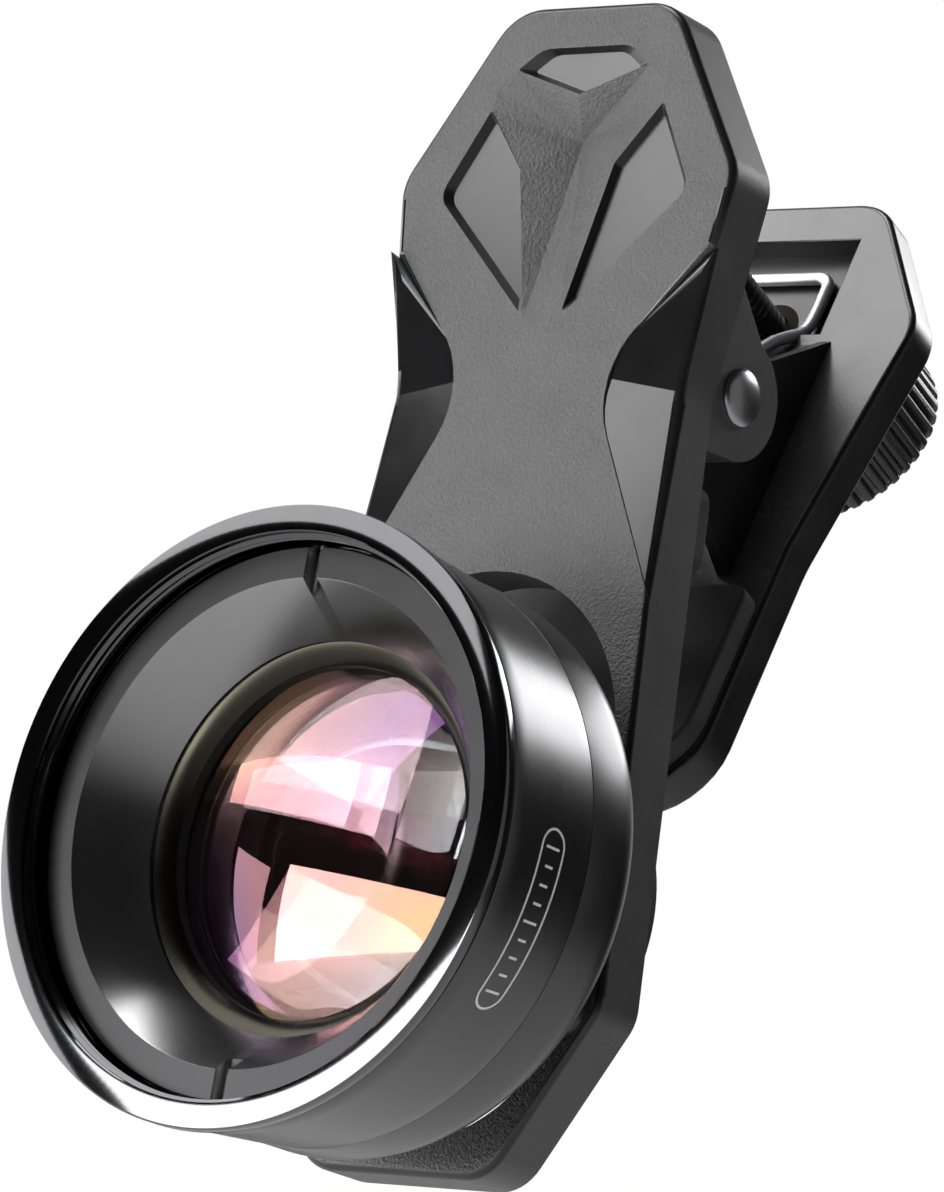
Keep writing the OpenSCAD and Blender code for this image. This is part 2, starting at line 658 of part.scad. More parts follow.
module clamp_screw() {
    color("#2b2c2e") on_rear_lever() translate([0, rear_off - screw_reach, screw_z]) rotate([-90, 0, 0]) {
        cylinder(r1 = screw_r - 0.5, r2 = screw_r, h = 0.5);
        translate([0, 0, 0.5 - eps]) cylinder(r = screw_r, h = hollow_y + 5 - rear_off + screw_reach - 0.5);
    }
}

// Outline of the knob: a circle with evenly spaced grooves between its ribs
function ribbed(r, depth, n) = [for (i = [0:n - 1]) let (a = i * 360 / n, s = 360 / n)
    each [r * [cos(a), sin(a)], r * [cos(a + s * 0.55), sin(a + s * 0.55)],
        (r - depth) * [cos(a + s * 0.68), sin(a + s * 0.68)], (r - depth) * [cos(a + s * 0.87), sin(a + s * 0.87)]]];

module knob() {
    rim = 0.7;
    color("#141415") on_rear_lever() translate([0, knob_y, screw_z]) rotate([-90, 0, 0]) difference() {
        union() {
            intersection() {
                linear_extrude(knob_h) polygon(ribbed(knob_r, rib_depth, knob_ribs));
                rotate_extrude() polygon([[0, 0], [knob_r - rim, 0], [knob_r + eps, rim], [knob_r + eps, knob_h - rim],
                    [knob_r - rim, knob_h], [0, knob_h]]);
            }
        }
        translate([0, 0, -1]) cylinder(r = boss_r + 0.5, h = hollow_y - knob_y + 1);
        translate([0, 0, -1]) cylinder(r = screw_r + 0.02, h = hollow_y - knob_y + 6.02);
        translate([0, 0, knob_h - 0.6]) cylinder(r = knob_r - 1.7, h = 2);
    }
}

front_ring();
retaining_ring();
lens_barrel();
optical_cell();
front_glass();
spacer_ring();
middle_glass();
aperture_stop();
rear_glass();
rear_retaining_ring();
carriage_plate();
carriage_bush();
ring_pad();
front_lever();
lever_pad();
pivot_rivet();
torsion_spring();
rear_lever();
jaw_pad();
screw_insert();
knob_washer();
clamp_screw();
knob();
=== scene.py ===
"""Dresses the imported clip-on phone lens: a screw-in close-up lens on a spring clip.

The CAD solids are the frame. This script models the moulded levers, the turned lens pieces, the glass,
the hardware and the markings again with their rounded edges and finishes, gives every piece its
material, and adds the studio and the camera. Sizes are in millimetres and turned into metres by MM.
"""

import logging
import math
from collections.abc import Callable, Iterable
from dataclasses import dataclass, field
from enum import Enum

import bmesh
import bpy
from mathutils import Matrix, Vector


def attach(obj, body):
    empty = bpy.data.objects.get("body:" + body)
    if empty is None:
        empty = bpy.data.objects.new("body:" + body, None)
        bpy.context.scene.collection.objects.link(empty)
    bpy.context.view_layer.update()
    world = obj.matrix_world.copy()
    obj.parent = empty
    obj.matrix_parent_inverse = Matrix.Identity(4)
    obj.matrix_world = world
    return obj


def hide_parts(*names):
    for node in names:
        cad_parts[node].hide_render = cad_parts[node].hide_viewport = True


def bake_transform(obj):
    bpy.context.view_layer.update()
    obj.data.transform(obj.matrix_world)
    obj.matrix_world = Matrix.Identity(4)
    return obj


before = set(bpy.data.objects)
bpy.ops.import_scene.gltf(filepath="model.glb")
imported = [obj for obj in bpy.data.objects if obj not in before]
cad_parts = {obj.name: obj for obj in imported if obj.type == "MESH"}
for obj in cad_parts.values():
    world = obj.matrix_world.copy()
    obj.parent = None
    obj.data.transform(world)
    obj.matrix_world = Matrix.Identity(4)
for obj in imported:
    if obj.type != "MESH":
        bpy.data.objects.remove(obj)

LOG = logging.getLogger("phone_lens")
MM = 0.001
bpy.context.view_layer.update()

RGB = tuple[float, float, float]
Point = tuple[float, float]
EdgeTest = Callable[[Vector, Vector, Vector, float], bool]


class Grain(Enum):
    """The fine surface of a finish."""

    WRINKLED = "wrinkled"
    FINE = "fine"
    TURNED = "turned"


@dataclass(frozen=True)
class Finish:
    """One surface finish, built as a procedural material on object coordinates.

    Attributes:
        name: Name of the material.
        colour: Base colour, linear.
        roughness: Middle roughness.
        metallic: 0 for plastic, rubber and paint, 1 for bare or anodised metal.
        grain: Kind of fine surface.
        grain_mm: Size of the grain.
        relief_mm: Height of the grain.
        wander: How far roughness and colour wander over the surface.
        hollow_shade: How much darker the hollows of the grain are painted, as painted shade.
        ior: Index of refraction.
    """

    name: str
    colour: RGB
    roughness: float
    metallic: float = 0.0
    grain: Grain = Grain.FINE
    grain_mm: float = 0.3
    relief_mm: float = 0.01
    wander: float = 0.12
    hollow_shade: float = 0.0
    ior: float = 1.5

    def build(self) -> bpy.types.Material:
        """Makes the material, or finds it if another piece made it already.

        Returns:
            The material.
        """
        found = bpy.data.materials.get(self.name)
        if found is not None:
            return found
        material = bpy.data.materials.new(self.name)
        material.use_nodes = True
        material.diffuse_color = (*self.colour, 1.0)
        tree = material.node_tree
        shader = tree.nodes["Principled BSDF"]
        shader.inputs["Metallic"].default_value = self.metallic
        shader.inputs["IOR"].default_value = self.ior
        place = tree.nodes.new("ShaderNodeTexCoord").outputs["Object"]
        height = self._height(tree, place)
        bump = tree.nodes.new("ShaderNodeBump")
        bump.inputs["Strength"].default_value = 1.0
        bump.inputs["Distance"].default_value = self.relief_mm * MM
        tree.links.new(height, bump.inputs["Height"])
        tree.links.new(bump.outputs["Normal"], shader.inputs["Normal"])
        self._wander(tree, shader, place, height)
        # Wrinkled grain gets painted shade in its grooves, with its gloss lowered there.
        if self.grain is Grain.WRINKLED:
            self._painted_groove_shade(tree, shader)
        return material

    def _wander(
        self,
        tree: bpy.types.NodeTree,
        shader: bpy.types.Node,
        place: bpy.types.NodeSocket,
        height: bpy.types.NodeSocket,
    ) -> None:
        """Lets roughness and colour wander a little at random, and paints shade into the hollows of the grain."""
        cloud = tree.nodes.new("ShaderNodeTexNoise")
        cloud.inputs["Scale"].default_value = 260.0
        cloud.inputs["Detail"].default_value = 5.0
        tree.links.new(place, cloud.inputs["Vector"])
        rough = tree.nodes.new("ShaderNodeMapRange")
        rough.inputs["From Min"].default_value = 0.3
        rough.inputs["From Max"].default_value = 0.7
        rough.inputs["To Min"].default_value = self.roughness * (1 - self.wander)
        rough.inputs["To Max"].default_value = min(1.0, self.roughness * (1 + self.wander))
        tree.links.new(cloud.outputs["Fac"], rough.inputs["Value"])
        tree.links.new(rough.outputs["Result"], shader.inputs["Roughness"])
        # The tint mixes random tone with the grain's height: painted shade in the grain's hollows.
        mixed = tree.nodes.new("ShaderNodeMix")
        mixed.data_type = "FLOAT"
        mixed.inputs[0].default_value = min(1.0, self.hollow_shade)
        tree.links.new(cloud.outputs["Fac"], mixed.inputs[2])
        tree.links.new(height, mixed.inputs[3])
        tint = tree.nodes.new("ShaderNodeValToRGB")
        spread = 0.5 * self.wander + 0.6 * self.hollow_shade
        tint.color_ramp.elements[0].position, tint.color_ramp.elements[1].position = 0.32, 0.68
        tint.color_ramp.elements[0].color = (*(c * (1 - spread) for c in self.colour), 1)
        tint.color_ramp.elements[1].color = (*(min(1.0, c * (1 + spread)) for c in self.colour), 1)
        tree.links.new(mixed.outputs[0], tint.inputs["Fac"])
        tree.links.new(tint.outputs["Color"], shader.inputs["Base Color"])

    def _painted_groove_shade(self, tree: bpy.types.NodeTree, shader: bpy.types.Node) -> None:
        """Paints shade into grooves: lowers the gloss where an ambient occlusion node finds little open space
        around.
        """
        open_sky = tree.nodes.new("ShaderNodeAmbientOcclusion")
        open_sky.samples = 6
        open_sky.only_local = True
        open_sky.inputs["Distance"].default_value = 3.5 * MM
        deep = tree.nodes.new("ShaderNodeMath")
        deep.operation = "POWER"
        deep.inputs[1].default_value = 5.0
        tree.links.new(open_sky.outputs["AO"], deep.inputs[0])
        level = tree.nodes.new("ShaderNodeMath")
        level.operation = "MULTIPLY"
        level.inputs[1].default_value = 0.42
        tree.links.new(deep.outputs["Value"], level.inputs[0])
        tree.links.new(level.outputs["Value"], shader.inputs["Specular IOR Level"])

    def _height(self, tree: bpy.types.NodeTree, place: bpy.types.NodeSocket) -> bpy.types.NodeSocket:
        """The height of the fine surface, from 0 to about 1."""
        scale = 1 / (self.grain_mm * MM)
        if self.grain is Grain.TURNED:
            return self._turned(tree, place, scale)
        noise = tree.nodes.new("ShaderNodeTexNoise")
        noise.inputs["Scale"].default_value = scale
        noise.inputs["Detail"].default_value = 3.0
        if self.grain is Grain.WRINKLED:
            noise.inputs["Roughness"].default_value = 0.7
            noise.inputs["Distortion"].default_value = 0.15
        tree.links.new(place, noise.inputs["Vector"])
        return noise.outputs["Fac"]

    def _turned(
        self, tree: bpy.types.NodeTree, place: bpy.types.NodeSocket, scale: float
    ) -> bpy.types.NodeSocket:
        """Turning marks round the optical axis."""
        flat = tree.nodes.new("ShaderNodeVectorMath")
        flat.operation = "MULTIPLY"
        flat.inputs[1].default_value = (1, 0, 1)
        tree.links.new(place, flat.inputs[0])
        radius = tree.nodes.new("ShaderNodeVectorMath")
        radius.operation = "LENGTH"
        tree.links.new(flat.outputs["Vector"], radius.inputs[0])
        split = tree.nodes.new("ShaderNodeSeparateXYZ")
        tree.links.new(place, split.inputs["Vector"])
        along = tree.nodes.new("ShaderNodeMath")
        tree.links.new(radius.outputs["Value"], along.inputs[0])
        tree.links.new(split.outputs["Y"], along.inputs[1])
        lines = tree.nodes.new("ShaderNodeTexNoise")
        lines.noise_dimensions = "1D"
        lines.inputs["Scale"].default_value = scale
        lines.inputs["Detail"].default_value = 2.0
        tree.links.new(along.outputs["Value"], lines.inputs["W"])
        return lines.outputs["Fac"]


@dataclass(frozen=True)
class CoatedGlass:
    """Optical glass whose coating tints what it reflects.

    Attributes:
        name: Name of the material.
        low: Reflection tint on one side of the coating.
        middle: Reflection tint in its middle.
        high: Reflection tint on the other side.
        slope: How fast the tint turns across the glass, per square millimetre.
        body: Colour of the glass itself.
        ior: Index of refraction.
        level: Strength of the reflection, 0.5 for uncoated glass.
    """

    name: str
    low: RGB
    middle: RGB
    high: RGB
    slope: float = 0.008
    body: RGB = (0.86, 0.84, 0.86)
    ior: float = 1.8
    level: float = 1.0

    def build(self) -> bpy.types.Material:
        """Makes the material, or finds it if another piece made it already."""
        found = bpy.data.materials.get(self.name)
        if found is not None:
            return found
        material = bpy.data.materials.new(self.name)
        material.use_nodes = True
        material.diffuse_color = (*self.body, 0.4)
        tree = material.node_tree
        shader = tree.nodes["Principled BSDF"]
        shader.inputs["Base Color"].default_value = (*self.body, 1)
        shader.inputs["Transmission Weight"].default_value = 1.0
        shader.inputs["IOR"].default_value = self.ior
        shader.inputs["Specular IOR Level"].default_value = self.level
        place = tree.nodes.new("ShaderNodeTexCoord").outputs["Object"]
        split = tree.nodes.new("ShaderNodeSeparateXYZ")
        tree.links.new(place, split.inputs["Vector"])
        corner = tree.nodes.new("ShaderNodeMath")
        corner.operation = "MULTIPLY"
        tree.links.new(split.outputs["X"], corner.inputs[0])
        tree.links.new(split.outputs["Z"], corner.inputs[1])
        cloud = tree.nodes.new("ShaderNodeTexNoise")
        cloud.inputs["Scale"].default_value = 90.0
        cloud.inputs["Detail"].default_value = 1.0
        tree.links.new(place, cloud.inputs["Vector"])
        turn = tree.nodes.new("ShaderNodeMath")
        turn.operation = "MULTIPLY_ADD"
        turn.inputs[1].default_value = self.slope / (MM * MM)
        tree.links.new(corner.outputs["Value"], turn.inputs[0])
        tree.links.new(cloud.outputs["Fac"], turn.inputs[2])
        ramp = tree.nodes.new("ShaderNodeValToRGB")
        ramp.color_ramp.elements[0].position, ramp.color_ramp.elements[1].position = 0.1, 0.9
        ramp.color_ramp.elements[0].color = (*self.low, 1)
        ramp.color_ramp.elements[1].color = (*self.high, 1)
        ramp.color_ramp.elements.new(0.5).color = (*self.middle, 1)
        tree.links.new(turn.outputs["Value"], ramp.inputs["Fac"])
        tree.links.new(ramp.outputs["Color"], shader.inputs["Specular Tint"])
        smear = tree.nodes.new("ShaderNodeMapRange")
        smear.inputs["To Min"].default_value = 0.0
        smear.inputs["To Max"].default_value = 0.02
        tree.links.new(cloud.outputs["Fac"], smear.inputs["Value"])
        tree.links.new(smear.outputs["Result"], shader.inputs["Roughness"])
        return material


AnyFinish = Finish | CoatedGlass

# Finishes of the clip
# The grained face carries painted shade: darker grain hollows, and duller gloss in its grooves.
GRAINED_PLASTIC = Finish(
    "grained_plastic", (0.034, 0.034, 0.0355), 0.35, grain=Grain.WRINKLED, grain_mm=0.26, relief_mm=0.11, hollow_shade=0.6
)
SIDE_PLASTIC = Finish("side_plastic", (0.05, 0.05, 0.052), 0.42, grain_mm=0.2, relief_mm=0.015)
# The same plastic painted near black, as painted shade and dark reflection on rounded rims, pocket walls and the
# rear lever's edges, walls and back.
SHADED_EDGE_PLASTIC = Finish("edge_plastic_painted_shade", (0.006, 0.006, 0.0065), 0.3, grain_mm=0.25, relief_mm=0.004)
FACET_PLASTIC = Finish("facet_plastic", (0.006, 0.006, 0.0065), 0.1, grain_mm=1.2, relief_mm=0.001, ior=1.6)
POCKET_PLASTIC = Finish("pocket_plastic", (0.03, 0.03, 0.031), 0.2, grain_mm=0.9, relief_mm=0.002, ior=1.6)
REAR_PLASTIC = Finish("rear_plastic", (0.05, 0.05, 0.052), 0.26, grain_mm=0.22, relief_mm=0.006, ior=1.6)
RUBBER = Finish("pad_rubber", (0.018, 0.018, 0.018), 0.75, grain_mm=0.15, relief_mm=0.015)
BRIGHT_STEEL = Finish("bright_steel", (0.62, 0.62, 0.64), 0.2, metallic=1.0, grain_mm=0.12, relief_mm=0.001)
RIVET_STEEL = Finish("rivet_steel", (0.32, 0.32, 0.33), 0.26, metallic=1.0, grain_mm=0.12, relief_mm=0.001)
BLACK_STEEL = Finish("black_steel", (0.05, 0.05, 0.055), 0.35, metallic=1.0, grain_mm=0.2, relief_mm=0.004)
# The brass insert is painted near black: painted shade where it sits deep behind the rear lever's window.
INSERT_PAINTED_SHADE = Finish("brass_insert_painted_shade", (0.01, 0.008, 0.005), 0.6, metallic=1.0, grain_mm=0.15, relief_mm=0.004)
KNOB_PLASTIC = Finish("knob_plastic", (0.012, 0.012, 0.013), 0.35, grain_mm=0.25, relief_mm=0.008)

# Finishes of the lens
BARREL_BLACK = Finish(
    "barrel_black", (0.1, 0.1, 0.103), 0.28, metallic=1.0, grain=Grain.TURNED, grain_mm=0.12, relief_mm=0.0004,
    wander=0.04,
)
RIM_BLACK = Finish(
    "rim_black", (0.07, 0.07, 0.072), 0.07, metallic=1.0, grain=Grain.TURNED, grain_mm=0.14, relief_mm=0.0001,
    wander=0.04,
)
RIM_BRIGHT = Finish(
    "rim_bright", (0.13, 0.13, 0.133), 0.12, metallic=1.0, grain=Grain.TURNED, grain_mm=0.1, relief_mm=0.0004
)
INNER_BLACK = Finish(
    "inner_black", (0.25, 0.25, 0.25), 0.24, metallic=1.0, grain=Grain.TURNED, grain_mm=0.12, relief_mm=0.0004,
    wander=0.05,
)
RING_FACE = Finish(
    "ring_face", (0.035, 0.035, 0.036), 0.34, metallic=1.0, grain=Grain.TURNED, grain_mm=0.12, relief_mm=0.0003,
    wander=0.05,
)
CELL_OLIVE = Finish(
    "cell_olive", (0.028, 0.026, 0.02), 0.26, metallic=1.0, grain=Grain.TURNED, grain_mm=0.16, relief_mm=0.001
)
CARRIAGE_BLACK = Finish("carriage_black", (0.04, 0.04, 0.041), 0.35, metallic=0.6, grain_mm=0.2, relief_mm=0.003)
STOP_BLACK = Finish("stop_black", (0.005, 0.005, 0.005), 0.85, grain_mm=0.2, relief_mm=0.008)
MARK_WHITE = Finish("mark_white", (0.8, 0.8, 0.8), 0.45, grain_mm=0.1, relief_mm=0.002, wander=0.05)
FRONT_GLASS = CoatedGlass("front_glass_coating", (1.0, 0.5, 0.28), (1.0, 0.38, 0.44), (0.5, 0.2, 0.62), level=0.45)
INNER_GLASS = CoatedGlass(
    "inner_glass_coating", (1.0, 0.55, 0.3), (0.9, 0.34, 0.42), (0.3, 0.4, 0.28), slope=-0.006, level=0.12
)


class Bench:
    """The mesh tools that every sub-assembly uses."""

    @staticmethod
    def clear() -> None:
        """Leaves edit mode and deselects everything."""
        if bpy.context.object and bpy.context.object.mode != "OBJECT":
            bpy.ops.object.mode_set(mode="OBJECT")
        bpy.ops.object.select_all(action="DESELECT")

    @staticmethod
    def pick(obj: bpy.types.Object) -> bpy.types.Object:
        """Makes one object the only one selected, and active."""
        Bench.clear()
        obj.select_set(True)
        bpy.context.view_layer.objects.active = obj
        return obj

    @staticmethod
    def copy_of(node: str, name: str) -> bpy.types.Object:
        """Copies a CAD node's mesh, merges its loose triangles and joins its flat faces.

        Args:
            node: Name of the CAD node.
            name: Name of the copy.

        Returns:
            The copy, with no parent.
        """
        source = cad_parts[node]
        copy = bpy.data.objects.new(name, source.data.copy())
        bpy.context.scene.collection.objects.link(copy)
        copy.data.materials.clear()
        Bench.pick(copy)
        bpy.ops.object.mode_set(mode="EDIT")
        bpy.ops.mesh.select_all(action="SELECT")
        bpy.ops.mesh.remove_doubles(threshold=0.002 * MM)
        bpy.ops.mesh.dissolve_limited(angle_limit=math.radians(0.4))
        bpy.ops.object.mode_set(mode="OBJECT")
        return copy

    @staticmethod
    def pick_edges(obj: bpy.types.Object, test: EdgeTest) -> int:
        """Enters edit mode and selects the edges that a test picks.

        Args:
            obj: The mesh object.
            test: Takes an edge's middle, its two faces' normals and the angle between them.

        Returns:
            How many edges were picked.
        """
        Bench.pick(obj)
        bpy.ops.object.mode_set(mode="EDIT")
        bpy.ops.mesh.select_all(action="DESELECT")
        bpy.ops.mesh.select_mode(type="EDGE")
        mesh = bmesh.from_edit_mesh(obj.data)
        count = 0
        for edge in mesh.edges:
            if len(edge.link_faces) != 2:
                continue
            first, second = (face.normal for face in edge.link_faces)
            angle = math.degrees(first.angle(second, 0.0))
            middle = (edge.verts[0].co + edge.verts[1].co) / 2
            if test(middle, first, second, angle):
                edge.select_set(True)
                count += 1
        bmesh.update_edit_mesh(obj.data)
        return count

    @staticmethod
    def bevel_edges(
        obj: bpy.types.Object, test: EdgeTest, width_mm: float, segments: int = 3, clamp: bool = True
    ) -> None:
        """Bevels the edges that a test picks by their place and the normals beside them.

        Args:
            obj: The mesh object.
            test: Takes an edge's middle, its two faces' normals and the angle between them.
            width_mm: Width of the bevel.
            segments: Number of its segments.
            clamp: Whether the width shrinks so that no bevel runs over its neighbour.
        """
        count = Bench.pick_edges(obj, test)
        if count:
            bpy.ops.mesh.bevel(
                offset_type="OFFSET", offset=width_mm * MM, segments=segments, profile=0.5, clamp_overlap=clamp
            )
        bpy.ops.object.mode_set(mode="OBJECT")
        LOG.info("%s: %d edges eased by %.2f mm", obj.name, count, width_mm)

    @staticmethod
    def soften(obj: bpy.types.Object, angle: float = 32.0) -> None:
        """Shades a piece smooth, with its edges over an angle kept sharp."""
        Bench.pick(obj)
        bpy.ops.object.shade_smooth_by_angle(angle=math.radians(angle))

    @staticmethod
    def flatten(obj: bpy.types.Object, crisp: EdgeTest | None = None) -> None:
        """Keeps flat faces flat beside their rounded edges, and chosen shallow edges crisp.

        Args:
            obj: The mesh object.
            crisp: Picks the edges to keep sharp.
        """
        Bench.soften(obj, 32)
        if crisp is not None and Bench.pick_edges(obj, crisp):
            bpy.ops.mesh.mark_sharp()
        Bench.pick(obj)
        weigh = obj.modifiers.new("weigh", "WEIGHTED_NORMAL")
        weigh.keep_sharp, weigh.weight = True, 100
        bpy.ops.object.modifier_apply(modifier=weigh.name)

    @staticmethod
    def paint(
        obj: bpy.types.Object,
        finishes: Iterable[AnyFinish],
        choose: Callable[[Vector, Vector], int] | None = None,
    ) -> None:
        """Gives a piece its finishes, one for each face.

        Args:
            obj: The mesh object.
            finishes: The finishes, in order.
            choose: Takes a face's centre and normal, and returns the number of its finish.
        """
        obj.data.materials.clear()
        for finish in finishes:
            obj.data.materials.append(finish.build())
        if choose is None:
            return
        for face in obj.data.polygons:
            face.material_index = choose(face.center, face.normal)

    @staticmethod
    def settle(obj: bpy.types.Object, body: str, slot: str, *replaced: str) -> bpy.types.Object:
        """Lets a finished piece ride on its body and stand for its CAD nodes."""
        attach(obj, body)
        if replaced:
            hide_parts(*replaced)
        LOG.info("%s: %d faces", obj.name, len(obj.data.polygons))
        return obj

    @staticmethod
    def eased(node: str, name: str, width_mm: float, finish: AnyFinish, body: str, slot: str) -> None:
        """Replaces a CAD node by a copy whose sharp edges are all rounded."""
        piece = Bench.copy_of(node, name)
        Bench.bevel_edges(piece, lambda middle, first, second, angle: angle > 50, width_mm, 3)
        Bench.paint(piece, [finish])
        Bench.flatten(piece)
        Bench.settle(piece, body, slot, node)

    @staticmethod
    def close(obj: bpy.types.Object, turn: Matrix | None = None) -> bpy.types.Object:
        """Merges a shape's seams and poles, turns its faces outwards and moves it to its place.

        Args:
            obj: The mesh object.
            turn: Where the finished mesh goes, in metres.

        Returns:
            The same object, shaded smooth.
        """
        Bench.pick(obj)
        bpy.ops.object.mode_set(mode="EDIT")
        bpy.ops.mesh.select_all(action="SELECT")
        bpy.ops.mesh.remove_doubles(threshold=0.002 * MM)
        bpy.ops.mesh.fill_holes(sides=64)
        bpy.ops.mesh.select_all(action="SELECT")
        bpy.ops.mesh.delete_loose()
        bpy.ops.mesh.select_all(action="SELECT")
        bpy.ops.mesh.normals_make_consistent(inside=False)
        bpy.ops.object.mode_set(mode="OBJECT")
        if turn is not None:
            obj.data.transform(turn)
        Bench.soften(obj)
        return obj

    @staticmethod
    def outline(name: str, profile: list[Point]) -> bpy.types.Object:
        """Draws a closed wire through points of radius and depth, in the plane of X and Y."""
        Bench.clear()
        bpy.ops.mesh.primitive_circle_add(vertices=len(profile), radius=MM, fill_type="NOTHING")
        obj = bpy.context.object
        obj.name = obj.data.name = name
        for vertex, (radius, depth) in zip(obj.data.vertices, profile):
            vertex.co = (radius * MM, depth * MM, 0.0)
        return obj

    @staticmethod
    def revolve(
        name: str, profile: list[Point], steps: int = 128, turn: Matrix | None = None
    ) -> bpy.types.Object:
        """Spins a profile of radius and depth round the optical axis.

        Args:
            name: Name of the piece.
            profile: Points of radius and depth in millimetres; the first and last are joined.
            steps: Number of steps round.
            turn: Where the finished mesh goes, in metres.

        Returns:
            The closed piece.
        """
        obj = Bench.outline(name, profile)
        bpy.ops.object.mode_set(mode="EDIT")
        bpy.ops.mesh.select_all(action="SELECT")
        bpy.ops.mesh.spin(steps=steps, angle=math.tau, center=(0, 0, 0), axis=(0, 1, 0))
        return Bench.close(obj, turn)

    @staticmethod
    def helix(
        name: str, profile: list[Point], pitch_mm: float, turns: int, steps: int, place: Matrix | None = None
    ) -> bpy.types.Object:
        """Winds a thread's cross-section round the Y axis with a Screw modifier.

        Args:
            name: Name of the piece.
            profile: Cross-section of the ridge, as points of radius and depth.
            pitch_mm: Rise of one turn.
            turns: Number of turns.
            steps: Steps in one turn.
            place: Where the finished mesh goes, in metres.

        Returns:
            The closed ridge.
        """
        obj = Bench.outline(name, profile)
        wind = obj.modifiers.new("wind", "SCREW")
        wind.axis, wind.angle, wind.screw_offset = "Y", math.tau, pitch_mm * MM
        wind.iterations, wind.steps, wind.render_steps = turns, steps, steps
        bpy.ops.object.modifier_apply(modifier=wind.name)
        return Bench.close(obj, place)

    @staticmethod
    def carve(obj: bpy.types.Object, cutter: bpy.types.Object) -> None:
        """Cuts one shape out of another."""
        Bench.pick(obj)
        cut = obj.modifiers.new("cut", "BOOLEAN")
        cut.operation, cut.solver, cut.object = "DIFFERENCE", "EXACT", cutter
        bpy.ops.object.modifier_apply(modifier=cut.name)
        bpy.data.objects.remove(cutter)

    @staticmethod
    def join(first: bpy.types.Object, *others: bpy.types.Object) -> bpy.types.Object:
        """Joins shapes into the first one."""
        Bench.pick(first)
        for other in others:
            other.select_set(True)
        bpy.ops.object.join()
        return first


def within(point: Point, outline: list[Point], margin: float = 0.0) -> bool:
    """Tells whether a point is inside a convex outline that runs clockwise or the other way.

    Args:
        point: The point.
        outline: Corners of the outline.
        margin: How far outside the outline still counts.

    Returns:
        True where it is inside.
    """
    sides = []
    for (ax, az), (bx, bz) in zip(outline, outline[1:] + outline[:1]):
        length = math.hypot(bx - ax, bz - az)
        sides.append(((bx - ax) * (point[1] - az) - (bz - az) * (point[0] - ax)) / length)
    return all(side > -margin for side in sides) or all(side < margin for side in sides)


